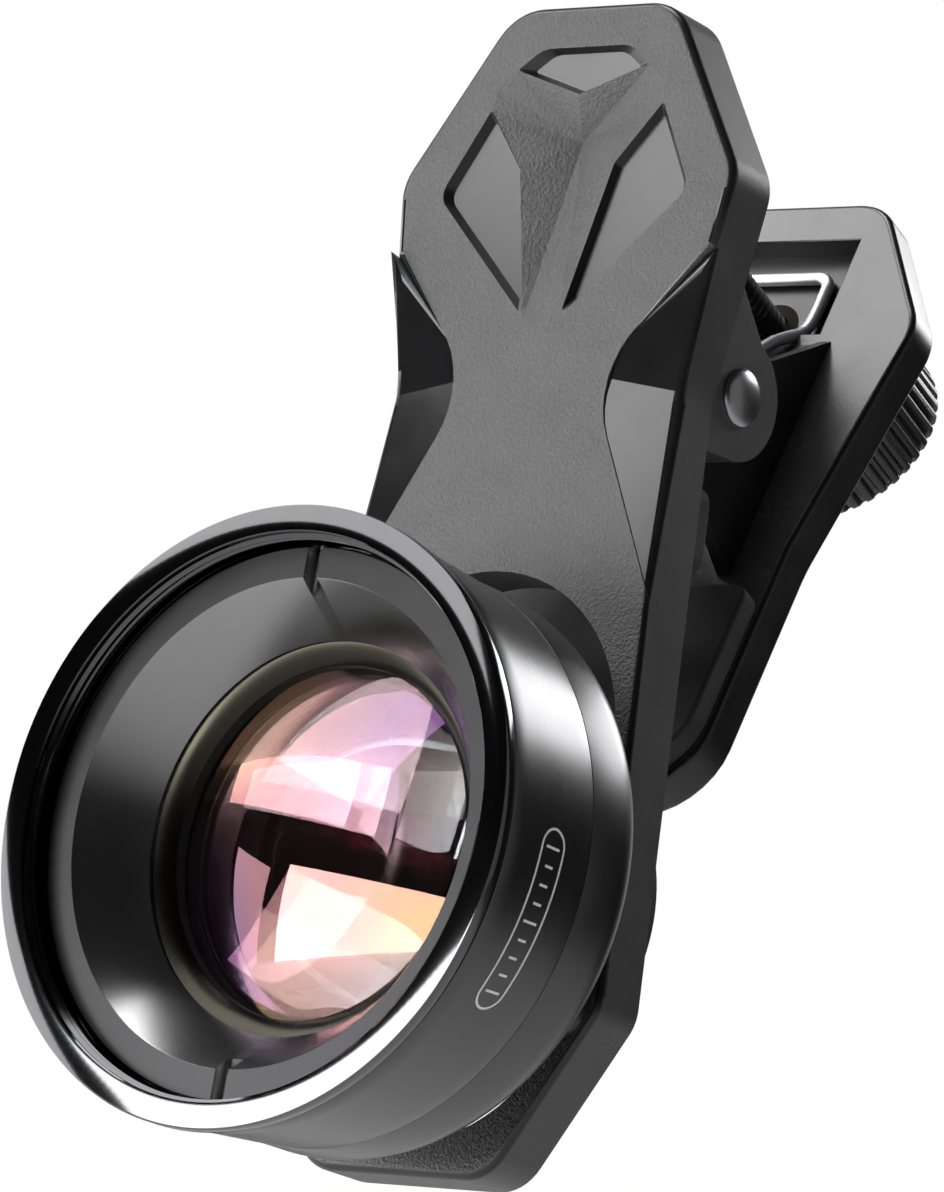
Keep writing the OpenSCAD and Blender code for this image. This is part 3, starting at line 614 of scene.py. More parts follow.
@dataclass
class FrontLever:
    """The clip's main plate: its grained face, polished facets and pockets, and the pad behind it."""

    face_y_mm: float = 20.3
    back_y_mm: float = 24.5
    slot_half_mm: float = 11.75
    ear_out_mm: float = 11.8
    relief_z_mm: float = 50.9
    rim_bevel_mm: float = 0.6
    back_bevel_mm: float = 0.35
    ear_bevel_mm: float = 0.3

    def build(self) -> None:
        """Builds the lever and its pad."""
        lever = Bench.copy_of("front_lever", "front_lever_moulding")
        Bench.bevel_edges(lever, self._front_rim, self.rim_bevel_mm, 5, clamp=False)
        Bench.bevel_edges(lever, self._back_rim, self.back_bevel_mm, 3)
        Bench.bevel_edges(lever, self._ear_edge, self.ear_bevel_mm, 3)
        # The rounded rim and the pocket walls take the near-black finish of painted shade.
        finishes = [GRAINED_PLASTIC, SIDE_PLASTIC, SHADED_EDGE_PLASTIC, FACET_PLASTIC, POCKET_PLASTIC]
        Bench.paint(lever, finishes, self._finish_of)
        Bench.flatten(lever, self._crisp)
        Bench.settle(lever, "clip", "textured_grey_plastic", "front_lever")
        Bench.eased("lever_pad", "lever_pad_moulding", 0.3, RUBBER, "clip", "black_rubber")

    def _pockets(self) -> list[list[Point]]:
        """The outlines of the right-hand pocket and the top one, seen from the front."""
        z = self.relief_z_mm
        side = [(7.1, z + 2.2), (3.9, z - 1.9), (1.5, z - 12.4), (10.3, z - 3.8)]
        top = [(-5.5, z + 4.9), (0.0, z + 3.0), (5.5, z + 4.9), (3.6, z + 6.3), (-3.6, z + 6.3)]
        return [side, top]

    def _in_pocket(self, place: Vector, margin: float) -> bool:
        """True for a place inside one of the three pockets."""
        x, z = abs(place.x / MM), place.z / MM
        return any(within((x, z), outline, margin) for outline in self._pockets())

    def _outer(self, middle: Vector) -> bool:
        """True for a place on the lever's outline and not on its slot, ears or handle relief."""
        x, z = abs(middle.x / MM), middle.z / MM
        if z < 22 and math.hypot(x, z - max(-4.8, min(9.5, z))) < self.slot_half_mm + 0.1:
            return False
        return x > 10.6 or z > 58.0 or z < -15 or (z > 44 and x + 0.61 * (z - 48.2) > 12.6)

    def _crisp(self, middle: Vector, first: Vector, second: Vector, angle: float) -> bool:
        """Picks the shallow edges of the relief and the facets."""
        return angle > 3 and max(first.y, second.y) < -0.4 and not self._outer(middle) or self._facet_edge(
            middle, first, second, angle
        )

    def _facet_edge(self, middle: Vector, first: Vector, second: Vector, angle: float) -> bool:
        """Picks the borders and the valley of the facets."""
        facets = [normal for normal in (first, second) if -0.9995 < normal.y < -0.965]
        return angle > 3 and bool(facets) and 10 < middle.z / MM < 46 and abs(middle.x / MM) > 4.5

    def _front_rim(self, middle: Vector, first: Vector, second: Vector, angle: float) -> bool:
        """Picks the edge between the front face and the side wall."""
        y = middle.y / MM
        steep = min(abs(first.y), abs(second.y)) < 0.3 and min(first.y, second.y) < -0.7
        return angle > 45 and steep and y < self.face_y_mm + 1.6 and self._outer(middle)

    def _back_rim(self, middle: Vector, first: Vector, second: Vector, angle: float) -> bool:
        """Picks the edge between the back and the side wall."""
        y, x, z = middle.y / MM, abs(middle.x / MM), middle.z / MM
        if angle < 60 or min(abs(first.y), abs(second.y)) > 0.3:
            return False
        return abs(y - self.back_y_mm) < 0.02 and self._outer(middle) and not (29 < z < 47 and x > 8.8)

    def _ear_edge(self, middle: Vector, first: Vector, second: Vector, angle: float) -> bool:
        """Picks the ears' outer edges."""
        y, x, z = middle.y / MM, abs(middle.x / MM), middle.z / MM
        round_hole = math.hypot(y - 27.5, z - 35.0) < 2
        return angle > 60 and abs(x - self.ear_out_mm) < 0.02 and y > self.back_y_mm + 0.6 and not round_hole

    def _finish_of(self, centre: Vector, normal: Vector) -> int:
        """Chooses grained face, side, polished facet, pocket floor, or the near-black finish painted as shade on
        rounded rims and pocket walls.
        """
        x, z, depth = abs(centre.x / MM), centre.z / MM, centre.y / MM - self.face_y_mm
        if depth > self.back_y_mm - self.face_y_mm - 0.4 or normal.y > 0.4:
            return 1
        if 10 < z < 46 and x > 4.5 and depth > 0.01 and -0.9995 < normal.y < -0.965:
            return 3
        # Pocket walls get the near-black finish: painted shade in the pockets.
        if z > 36 and self._in_pocket(centre, 0.03):
            return 4 if normal.y < -0.99 and depth > 0.4 else 2
        # The rounded rim gets the near-black finish: painted shade and dark reflection.
        if self._outer(centre) and -0.965 < normal.y < -0.25:
            return 2
        return 1 if normal.y > -0.25 else 0


@dataclass
class RearLever:
    """The tilted lever behind, with its window, knuckle and jaw."""

    tilt_deg: float = 20.8
    pivot_mm: Point = (27.5, 35.0)
    face_mm: float = 11.1
    thick_mm: float = 3.0
    window_mm: tuple[float, float, float] = (5.9, 14.1, 22.2)
    rim_bevel_mm: float = 0.45
    small_bevel_mm: float = 0.15

    def build(self) -> None:
        """Builds the lever and its pad."""
        lever = Bench.copy_of("rear_lever", "rear_lever_moulding")
        Bench.bevel_edges(lever, self._rim, self.rim_bevel_mm, 4, clamp=False)
        Bench.bevel_edges(lever, self._window, self.small_bevel_mm, 2)
        # All but the front face is painted near black as shade.
        Bench.paint(lever, [REAR_PLASTIC, SHADED_EDGE_PLASTIC], self._finish_of)
        Bench.flatten(lever)
        Bench.settle(lever, "jaw", "grey_plastic", "rear_lever")
        Bench.eased("jaw_pad", "jaw_pad_moulding", 0.3, RUBBER, "jaw", "black_rubber")

    def local(self, place: Vector) -> Vector:
        """A place in the lever's own frame, in millimetres from the pivot."""
        turn = Matrix.Rotation(math.radians(self.tilt_deg), 3, "X")
        return turn @ (place / MM - Vector((0, *self.pivot_mm)))

    def turned(self, normal: Vector) -> Vector:
        """A direction in the lever's own frame."""
        return Matrix.Rotation(math.radians(self.tilt_deg), 3, "X") @ normal

    def seat(self, y_mm: float, z_mm: float) -> Matrix:
        """The matrix that carries a shape turned about Y to a place in the lever's frame."""
        pivot = Matrix.Translation(Vector((0, *self.pivot_mm)) * MM)
        tilt = Matrix.Rotation(math.radians(-self.tilt_deg), 4, "X")
        return pivot @ tilt @ Matrix.Translation(Vector((0, y_mm, z_mm)) * MM)

    def _rim(self, middle: Vector, first: Vector, second: Vector, angle: float) -> bool:
        """Picks the plate's outer edges, front and back."""
        place = self.local(middle)
        level = min(abs(place.y - self.face_mm), abs(place.y - self.face_mm - self.thick_mm)) < 0.02
        flat = abs(abs(self.turned(first).y) - 1) < 0.02 or abs(abs(self.turned(second).y) - 1) < 0.02
        outside = abs(place.x) > 8.5 or place.z > 23.5 or place.z < -20
        return angle > 60 and level and flat and outside

    def _window(self, middle: Vector, first: Vector, second: Vector, angle: float) -> bool:
        """Picks the edges of the window's pocket in the front face."""
        place = self.local(middle)
        half, low, high = self.window_mm
        on_edge = abs(place.x) < half + 0.05 and low - 0.05 < place.z < high + 0.05
        return angle > 60 and on_edge and abs(place.y - self.face_mm) < 0.02

    def _finish_of(self, centre: Vector, normal: Vector) -> int:
        """Chooses the fine-grained front face, or the near-black finish painted as shade on the edges, walls and
        back.
        """
        place, facing = self.local(centre), self.turned(normal).y
        return 0 if facing < -0.95 and place.y < self.face_mm + 0.3 else 1


@dataclass
class Hardware:
    """The rivet, the spring, the clamp screw and its knob; the insert and washer they sit in stay as CAD nodes."""

    rear: RearLever
    rivet_mm: tuple[float, float, float] = (1.25, 1.95, 0.7)
    wire_r_mm: float = 0.45
    coil_r_mm: float = 2.35
    coil_turns: float = 2.375
    coil_out_mm: float = 5.55
    coil_pitch_mm: float = 0.936
    loop_half_mm: float = 3.9
    loop_y_mm: float = 12.3
    loop_top_mm: float = 19.8
    leg_y_mm: float = 24.97
    screw_z_mm: float = 15.6
    screw_r_mm: float = 1.5
    screw_y_mm: Point = (-1.9, 21.7)
    thread_pitch_mm: float = 0.6
    thread_turns: int = 25
    knob_y_mm: float = 14.5
    knob_r_mm: float = 7.25
    knob_h_mm: float = 10.3
    knob_ribs: int = 40
    rib_depth_mm: float = 0.45

    def build(self) -> None:
        """Builds every piece of the hardware."""
        self._rivet()
        self._spring()
        self._screw()
        self._knob()

    def _rivet(self) -> None:
        """Turns the rivet, with a domed head at each end."""
        shank, head, height = self.rivet_mm
        dome = [(head * math.sin(a), 0.15 + (height - 0.15) * math.cos(a)) for a in self._fan(12)]
        right = [(radius, 11.8 + rise) for radius, rise in dome]
        profile = right + [(head, 11.8), (shank, 11.8), (shank, -11.8), (head, -11.8)]
        profile += [(radius, -depth) for radius, depth in reversed(right)]
        turn = Matrix.Translation(Vector((0, *self.rear.pivot_mm)) * MM) @ Matrix.Rotation(-math.pi / 2, 4, "Z")
        rivet = Bench.revolve("pivot_rivet_turned", profile, 48, turn)
        Bench.paint(rivet, [RIVET_STEEL])
        Bench.settle(rivet, "clip", "bright_steel", "pivot_rivet")

    @staticmethod
    def _fan(count: int) -> list[float]:
        """Angles from 0 to a right angle."""
        return [math.pi / 2 * i / count for i in range(count + 1)]

    def _wire_path(self) -> list[Vector]:
        """The middle line of the spring's wire, from one leg through both coils and the loop."""
        pivot_y, pivot_z = self.rear.pivot_mm
        half = [Vector((self.coil_out_mm, self.leg_y_mm, pivot_z + rise)) for rise in (12, 10, 8, 6, 4, 2.5)]
        steps = round(24 * self.coil_turns)
        for i in range(steps + 1):
            angle = math.pi + i * math.tau / 24
            place = (
                self.coil_out_mm - self.coil_pitch_mm * i / 24,
                pivot_y + self.coil_r_mm * math.cos(angle),
                pivot_z + self.coil_r_mm * math.sin(angle),
            )
            half.append(Vector(place))
        seat, top, side = self.rear.seat(0, 0), self.loop_top_mm, self.loop_half_mm
        loop = [(side, 9.0, 12.0), (side, self.loop_y_mm - 0.4, 14.5), (side, self.loop_y_mm, 16.5)]
        loop += [(side, self.loop_y_mm, top - 1.5)]
        loop += [(side - 1 + math.cos(a), self.loop_y_mm, top - 1 + math.sin(a)) for a in self._fan(5)]
        loop += [(side - 2, self.loop_y_mm, top), (side / 3, self.loop_y_mm, top)]
        half += [(seat @ (Vector(place) * MM)) / MM for place in loop]
        return half + [Vector((-place.x, place.y, place.z)) for place in reversed(half)]

    def _spring(self) -> None:
        """Sweeps the round wire along its path."""
        Bench.clear()
        bpy.ops.curve.primitive_nurbs_path_add()
        obj = bpy.context.object
        obj.name = "torsion_spring_wire"
        curve = obj.data
        curve.splines.clear()
        path = self._wire_path()
        line = curve.splines.new("NURBS")
        line.points.add(len(path) - 1)
        for point, place in zip(line.points, path):
            point.co = (*(place * MM), 1.0)
        line.order_u, line.resolution_u, line.use_endpoint_u = 3, 3, True
        curve.dimensions, curve.bevel_depth, curve.bevel_resolution = "3D", self.wire_r_mm * MM, 4
        curve.use_fill_caps = True
        Bench.pick(obj)
        bpy.ops.object.convert(target="MESH")
        spring = bpy.context.object
        spring.name = "torsion_spring_wire"
        Bench.close(spring)
        Bench.paint(spring, [BRIGHT_STEEL])
        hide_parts("torsion_spring")
        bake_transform(spring)

    def _screw(self) -> None:
        """Turns the clamp screw's core and winds its thread round it."""
        low, high = self.screw_y_mm
        core = self.screw_r_mm - 0.28
        profile = [(0, low), (core - 0.3, low), (core, low + 0.35), (core, 13.9), (self.screw_r_mm, 14.2)]
        profile += [(self.screw_r_mm, high), (0, high)]
        seat = self.rear.seat(0, self.screw_z_mm)
        shank = Bench.revolve("clamp_screw_turned", profile, 32, seat)
        start, crest = low + 0.5, self.screw_r_mm
        ridge = [(core - 0.04, start), (crest, start + 0.22), (crest, start + 0.3), (core - 0.04, start + 0.52)]
        thread = Bench.helix("clamp_screw_thread", ridge, self.thread_pitch_mm, self.thread_turns, 24, seat)
        screw = Bench.join(shank, thread)
        Bench.paint(screw, [BLACK_STEEL])
        Bench.settle(screw, "screw", "black_steel", "clamp_screw")

    def _knob(self) -> None:
        """Turns the knob and presses its ribs into its side."""
        r, h, rim = self.knob_r_mm, self.knob_h_mm, 0.7
        low_round = [(r - rim + rim * math.sin(a), rim - rim * math.cos(a)) for a in self._fan(5)]
        side = [(r, rim + (h - 2 * rim) * i / 6) for i in range(1, 6)]
        high_round = [(r - rim + rim * math.cos(a), h - rim + rim * math.sin(a)) for a in self._fan(5)]
        profile = [(1.52, 2.2), (4.5, 2.2), (4.5, 0.1), (4.6, 0.0)] + low_round + side + high_round
        profile += [(r - 1.6, h), (r - 1.7, h - 0.1), (r - 1.75, h - 0.5), (r - 1.85, h - 0.6), (0, h - 0.6)]
        profile += [(0, 7.22), (1.52, 7.22)]
        knob = Bench.revolve("knob_moulding", profile, self.knob_ribs * 8)
        for vertex in knob.data.vertices:
            radius = math.hypot(vertex.co.x, vertex.co.z) / MM
            fade = min(1.0, max(0.0, (radius - (r - rim) - 0.1) / 0.45))
            phase = math.atan2(vertex.co.z, vertex.co.x) / math.tau * self.knob_ribs % 1.0
            sunk = self.rib_depth_mm * fade * self._rib(phase)
            if sunk > 0:
                vertex.co.x *= 1 - sunk / radius
                vertex.co.z *= 1 - sunk / radius
        knob.data.transform(self.rear.seat(self.knob_y_mm, self.screw_z_mm))
        Bench.paint(knob, [KNOB_PLASTIC])
        Bench.soften(knob, 40)
        Bench.settle(knob, "knob_body", "black_knob_plastic", "knob")

    @staticmethod
    def _rib(phase: float) -> float:
        """Share of the groove's depth at a place from 0 to 1 between two ribs."""
        return max(0.0, min(1.0, (0.27 - abs(phase - 0.74)) / 0.14))


@dataclass
class Carriage:
    """The plate and bush that slide in the lever's slot and carry the lens, with their pad."""

    def build(self) -> None:
        """Rounds the edges of the carriage's three pieces."""
        slot = "black_anodised_carriage"
        Bench.eased("carriage_plate", "carriage_plate_milled", 0.18, CARRIAGE_BLACK, "carriage", slot)
        Bench.eased("carriage_bush", "carriage_bush_turned", 0.12, CARRIAGE_BLACK, "carriage", slot)
        Bench.eased("ring_pad", "ring_pad_moulding", 0.25, RUBBER, "carriage", "black_rubber")


@dataclass
class Lens:
    """The screwed-in lens: barrel, front ring with its filter thread, retaining ring, cell and glass."""

    thread_r_mm: float = 18.25
    thread_pitch_mm: float = 0.5
    thread_rise_mm: float = 0.25
    thread_turns: int = 2
    rim_r_mm: float = 20.0
    collar_mm: float = 0.95
    groove_mm: float = 1.3
    barrel_mm: tuple[Point, Point] = ((19.75, 1.3), (19.05, 10.3))
    seam_mm: Point = (0.09, 0.06)
    round_mm: float = 3.5
    barrel_end_mm: float = 17.0
    slot_mm: Point = (1.15, 1.3)
    label_deg: Point = (-32.5, 3.4)
    label_y_mm: Point = (5.6, 6.3)
    label_half_mm: float = 1.3
    label_line_mm: float = 0.16
    label_ticks: int = 9

    def build(self) -> None:
        """Builds the lens from the rim back."""
        self._front_ring()
        self._retaining_ring()
        self._barrel()
        self._cell()
        self._glass("front_glass_polished", "front_glass", (11.95, 8.45, 10.2, 33.96, 156.0), FRONT_GLASS)
        self._glass("middle_glass_polished", "middle_glass", (11.95, 11.6, 13.3, -90.0, -300.0), INNER_GLASS)
        self._glass("rear_glass_polished", "rear_glass", (7.35, 22.25, 23.9, 59.2, -44.4), INNER_GLASS)
        self._label()

    def _front_ring(self) -> None:
        """Turns the front ring and winds the ridges of its filter thread."""
        bore, rim, lip = self.thread_r_mm, self.rim_r_mm, self.collar_mm
        profile = [(bore + 0.08, 0), (rim - 0.15, 0), (rim - 0.04, 0.04), (rim, 0.15), (rim, lip - 0.15)]
        profile += [(rim - 0.04, lip - 0.04), (rim - 0.15, lip), (rim - 0.6, lip), (rim - 0.6, self.groove_mm)]
        profile += [(18.9, self.groove_mm), (18.9, 4.3), (17.85, 4.3), (17.85, 2.0), (18.5, 2.0), (18.5, 1.7)]
        profile += [(bore, 1.7), (bore, 0.08)]
        ring = Bench.revolve("front_ring_turned", profile, 192)
        Bench.paint(ring, [RIM_BLACK, RIM_BRIGHT], self._ring_finish)
        start, rise = 0.12, self.thread_rise_mm
        ridge = [(bore + 0.05, start), (bore - rise, start + 0.18), (bore - rise, start + 0.24)]
        ridge += [(bore + 0.05, start + 0.42)]
        thread = Bench.helix("filter_thread", ridge, self.thread_pitch_mm, self.thread_turns, 160)
        Bench.paint(thread, [RIM_BLACK])
        Bench.settle(ring, "barrel", "black_anodised_ring", "front_ring")
        Bench.settle(thread, "barrel", "black_anodised_ring")

    def _ring_finish(self, centre: Vector, normal: Vector) -> int:
        """Chooses the bright collar or the black ring."""
        radius, depth = math.hypot(centre.x, centre.z) / MM, centre.y / MM
        return 1 if radius > self.rim_r_mm - 0.3 and depth > 0.03 and depth < self.collar_mm - 0.02 else 0

    def _retaining_ring(self) -> None:
        """Turns the retaining ring, with a flat face and a cone, and saws its two spanner slots."""
        profile = [(15.78, 2.0), (17.72, 2.0), (17.8, 2.08), (17.8, 6.5), (12.8, 6.5), (12.8, 6.2), (15.7, 2.07)]
        ring = Bench.revolve("retaining_ring_turned", profile, 160)
        width, depth = self.slot_mm
        for side in (-1, 1):
            Bench.clear()
            middle = Vector((0, 2.0 + depth / 2 - 0.5, side * 16.25)) * MM
            bpy.ops.mesh.primitive_cube_add(size=1.0, location=middle)
            cutter = bpy.context.object
            cutter.scale = Vector((width, depth + 1.0, 4.3)) * MM
            bpy.ops.object.transform_apply(location=True, rotation=True, scale=True)
            Bench.bevel_edges(cutter, lambda m, a, b, angle: m.y > 2.5 * MM and abs(m.x) > 0.1 * MM, 0.3, 3)
            Bench.carve(ring, cutter)
        Bench.paint(ring, [INNER_BLACK, RING_FACE], lambda centre, normal: int(normal.y < -0.9))
        Bench.soften(ring, 25)
        Bench.settle(ring, "barrel", "dark_anodised_inner", "retaining_ring")

    def _barrel_radius(self, y_mm: float) -> float:
        """Radius of the barrel's tapered side at a depth."""
        (front_r, front_y), (rear_r, rear_y) = self.barrel_mm
        return front_r + (rear_r - front_r) * min(1.0, max(0.0, (y_mm - front_y) / (rear_y - front_y)))

    def _barrel(self) -> None:
        """Turns the barrel, with a fine seam behind its taper, a rounded rear edge and its neck."""
        (front_r, front_y), (rear_r, rear_y) = self.barrel_mm
        width, depth = self.seam_mm
        profile = [(18.95, front_y), (front_r - 0.2, front_y), (front_r - 0.06, front_y + 0.05)]
        profile += [(front_r - 0.01, front_y + 0.2)]
        profile += [(self._barrel_radius(y), y) for y in (3.0, 5.0, 7.0, 9.0, rear_y)]
        profile += [(rear_r - 0.01, rear_y + 0.04), (rear_r - depth, rear_y + 0.06)]
        profile += [(rear_r - depth, rear_y + width), (rear_r - 0.01, rear_y + width + 0.02)]
        profile += [(rear_r, rear_y + width + 0.08)]
        bend = [math.pi / 2 * i / 16 for i in range(17)]
        start, end = rear_r - self.round_mm, self.barrel_end_mm - self.round_mm
        profile += [(start + self.round_mm * math.cos(a), end + self.round_mm * math.sin(a)) for a in bend]
        profile += [(10.9, 17.0), (10.6, 17.12), (10.5, 17.4), (10.5, 18.8), (8.45, 18.8), (8.45, 24.9)]
        profile += [(7.4, 24.9), (7.4, 22.1), (6.5, 22.1), (6.5, 14.5), (15.0, 14.5), (15.0, 6.5)]
        profile += [(17.85, 6.5), (17.85, 4.3), (18.95, 4.3)]
        barrel = Bench.revolve("lens_barrel_turned", profile, 192)
        Bench.paint(barrel, [BARREL_BLACK, STOP_BLACK], self._barrel_finish)
        Bench.settle(barrel, "barrel", "black_anodised_barrel", "lens_barrel")

    @staticmethod
    def _barrel_finish(centre: Vector, normal: Vector) -> int:
        """Chooses the anodised outside or the blackened bore."""
        radius, depth = math.hypot(centre.x, centre.z) / MM, centre.y / MM
        return 1 if radius < 8.0 and depth > 14 else 0

    def _cell(self) -> None:
        """Turns the optical cell, whose lip shows round the front glass."""
        profile = [(12.8, 6.5), (14.95, 6.5), (14.95, 14.5), (12.0, 14.5), (12.0, 8.2), (11.5, 8.2), (11.5, 7.35)]
        profile += [(11.55, 7.27)]
        cell = Bench.revolve("optical_cell_turned", profile, 160)
        Bench.paint(cell, [CELL_OLIVE, STOP_BLACK], lambda centre, normal: int(centre.y > 7.5 * MM))
        Bench.settle(cell, "optics", "satin_cell", "optical_cell")

    def _glass(
        self, name: str, node: str, sizes: tuple[float, float, float, float, float], finish: CoatedGlass
    ) -> None:
        """Grinds one lens element.

        Args:
            name: Name of the piece.
            node: The CAD node that it replaces.
            sizes: Edge radius, edge depths in front and behind, and the two radii of curvature.
            finish: Its coating.
        """
        edge_r, front_y, rear_y, front_curve, rear_curve = sizes
        steps = 36
        front, rear = [], []
        for i in range(steps + 1):
            radius = edge_r * i / steps
            rise = self._sag(edge_r, front_curve) - self._sag(radius, front_curve)
            front.append((radius, front_y - math.copysign(rise, front_curve)))
            rise = self._sag(edge_r, rear_curve) - self._sag(radius, rear_curve)
            rear.append((radius, rear_y + math.copysign(rise, rear_curve)))
        glass = Bench.revolve(name, front + rear[::-1], 160)
        Bench.paint(glass, [finish])
        slot = "coated_glass_front" if node == "front_glass" else "coated_glass_inner"
        Bench.settle(glass, "optics", slot, node)

    @staticmethod
    def _sag(radius: float, curve: float) -> float:
        """Depth of a curved surface at a radius."""
        return abs(curve) - math.sqrt(curve * curve - radius * radius)

    def _label(self) -> None:
        """Prints a plain capsule with a scale of ticks on the barrel."""
        (low, high), (low_y, high_y) = self.label_deg, self.label_y_mm
        length = math.radians(high - low) * self.barrel_mm[0][0]
        half, pieces = self.label_half_mm, []
        straight = length / 2 - half
        cap = [(straight + half * math.sin(a), half * math.cos(a)) for a in (math.pi * i / 24 for i in range(25))]
        side = [(straight - 2 * straight * i / 24, -half) for i in range(1, 24)]
        loop = cap + side
        loop += [(-u, -v) for u, v in loop]
        outline = Bench.outline("barrel_scale", loop)
        bpy.ops.object.mode_set(mode="EDIT")
        bpy.ops.mesh.select_all(action="SELECT")
        bpy.ops.mesh.edge_face_add()
        bpy.ops.mesh.inset(thickness=self.label_line_mm * MM)
        bpy.ops.mesh.delete(type="FACE")
        bpy.ops.object.mode_set(mode="OBJECT")
        for i in range(self.label_ticks):
            Bench.clear()
            tall = half * (1.1 if i % 4 == 0 else 0.65)
            u = (i / (self.label_ticks - 1) - 0.5) * 2 * straight
            bpy.ops.mesh.primitive_grid_add(x_subdivisions=1, y_subdivisions=6, size=1.0)
            tick = bpy.context.object
            for vertex in tick.data.vertices:
                vertex.co.x = u * MM + vertex.co.x * 0.17 * MM
                vertex.co.y *= tall * MM
            pieces.append(tick)
        marks = Bench.join(outline, *pieces)
        middle, slant = (low + high) / 2, (high_y - low_y) / length
        for vertex in marks.data.vertices:
            u, v = vertex.co.x / MM, vertex.co.y / MM
            y = (low_y + high_y) / 2 + v + slant * u
            radius = self._barrel_radius(y) + 0.012
            angle = math.radians(middle) + u / self.barrel_mm[0][0]
            vertex.co = Vector((radius * math.cos(angle), y, radius * math.sin(angle))) * MM
        Bench.pick(marks)
        print_film = marks.modifiers.new("film", "SOLIDIFY")
        print_film.thickness, print_film.offset = 0.03 * MM, 0.0
        bpy.ops.object.modifier_apply(modifier=print_film.name)
        Bench.paint(marks, [MARK_WHITE])
        Bench.settle(marks, "barrel", "black_anodised_barrel")


@dataclass(frozen=True)
class Lamp:
    """One soft box.

    Attributes:
        name: Name of the lamp.
        way: Its direction from the clip, to the camera's right, up and towards the camera.
        along_m: Its size along the camera's axis.
        across_m: Its size the other way.
        power_w: Its power.
    """

    name: str
    way: tuple[float, float, float]
    along_m: float
    across_m: float
    power_w: float


@dataclass
class Studio:
    """Camera, lamps, floor and backdrop.

    Attributes:
        azimuth_deg: Camera's angle round the clip, from straight in front towards +X.
        elevation_deg: Camera's angle over the horizon.
        roll_deg: Camera's roll.
        distance_mm: Distance from the aim point.
        lens_mm: Focal length on a 36 mm long side.
        aim_mm: Point in the middle of the picture.
        floor_mm: Height of the floor.
        lamp_distance_m: Distance of the lamps from the aim point.
    """

    azimuth_deg: float = 39.047
    elevation_deg: float = -11.796
    roll_deg: float = 9.822
    distance_mm: float = 435.051
    lens_mm: float = 204.172
    aim_mm: tuple[float, float, float] = (1.41, 16.47, 18.53)
    floor_mm: float = -130.0
    lamp_distance_m: float = 0.6
    lamps: list[Lamp] = field(
        default_factory=lambda: [
            Lamp("high_left_box", (-0.68, 0.74, -0.07), 0.54, 0.41, 3.5),
            Lamp("low_left_box", (-0.85, 0.07, 0.47), 0.48, 0.22, 5.4),
            Lamp("far_left_box", (-0.87, 0.03, -0.42), 0.62, 0.26, 2.4),
            Lamp("back_right_box", (0.68, 0.30, -0.66), 0.40, 0.15, 1.3),
            Lamp("top_box", (-0.08, 0.96, -0.25), 0.30, 0.20, 1.3),
            Lamp("right_fill", (0.95, 0.10, 0.30), 0.50, 0.50, 0.2),
        ]
    )

    def axes(self) -> tuple[Vector, Vector, Vector]:
        """The camera's right, up and backward directions."""
        azimuth, elevation, roll = map(math.radians, (self.azimuth_deg, self.elevation_deg, self.roll_deg))
        back = Vector(
            (math.sin(azimuth) * math.cos(elevation), -math.cos(azimuth) * math.cos(elevation), math.sin(elevation))
        )
        level = Vector((math.cos(azimuth), math.sin(azimuth), 0))
        upright = level.cross(-back)
        right = math.cos(roll) * level + math.sin(roll) * upright
        up = -math.sin(roll) * level + math.cos(roll) * upright
        return right, up, back

    def build(self) -> None:
        """Builds the studio."""
        self._camera()
        for lamp in self.lamps:
            self._lamp(lamp)
        self._floor()
        self._world()
        settings = bpy.context.scene.view_settings
        settings.view_transform = "Standard"

    def _camera(self) -> None:
        """Places the camera at the photograph's angle."""
        right, up, back = self.axes()
        Bench.clear()
        bpy.ops.object.camera_add()
        camera = bpy.context.object
        camera.name = "studio_camera"
        camera.data.lens = self.lens_mm
        camera.data.sensor_width = 36.0
        camera.data.clip_start, camera.data.clip_end = 0.02, 20.0
        turn = Matrix((right, up, back)).transposed().to_4x4()
        spot = Vector(self.aim_mm) * MM + back * self.distance_mm * MM
        camera.matrix_world = Matrix.Translation(spot) @ turn
        bpy.context.scene.camera = camera

    def _lamp(self, lamp: Lamp) -> None:
        """Places one soft box, with its long side along the camera's axis."""
        right, up, back = self.axes()
        toward = (right * lamp.way[0] + up * lamp.way[1] + back * lamp.way[2]).normalized()
        along = (back - toward * back.dot(toward)).normalized()
        turn = Matrix((along, toward.cross(along), toward)).transposed().to_4x4()
        Bench.clear()
        bpy.ops.object.light_add(type="AREA")
        light = bpy.context.object
        light.name = lamp.name
        light.data.shape = "RECTANGLE"
        light.data.size, light.data.size_y = lamp.along_m, lamp.across_m
        light.data.energy = lamp.power_w
        spot = Vector(self.aim_mm) * MM + toward * self.lamp_distance_m
        light.matrix_world = Matrix.Translation(spot) @ turn

    def _floor(self) -> None:
        """Lays a plain pale floor, open to a view from beneath."""
        Bench.clear()
        bpy.ops.mesh.primitive_plane_add(size=6.0, location=(0, 0, self.floor_mm * MM))
        floor = bpy.context.object
        floor.name = "studio_floor"
        material = bpy.data.materials.new("studio_floor")
        material.use_nodes = True
        tree = material.node_tree
        shader = tree.nodes["Principled BSDF"]
        shader.inputs["Base Color"].default_value = (0.8, 0.8, 0.8, 1)
        shader.inputs["Roughness"].default_value = 0.7
        clear = tree.nodes.new("ShaderNodeBsdfTransparent")
        mix = tree.nodes.new("ShaderNodeMixShader")
        side = tree.nodes.new("ShaderNodeNewGeometry")
        tree.links.new(side.outputs["Backfacing"], mix.inputs["Fac"])
        tree.links.new(shader.outputs["BSDF"], mix.inputs[1])
        tree.links.new(clear.outputs["BSDF"], mix.inputs[2])
        tree.links.new(mix.outputs["Shader"], tree.nodes["Material Output"].inputs["Surface"])
        floor.data.materials.append(material)

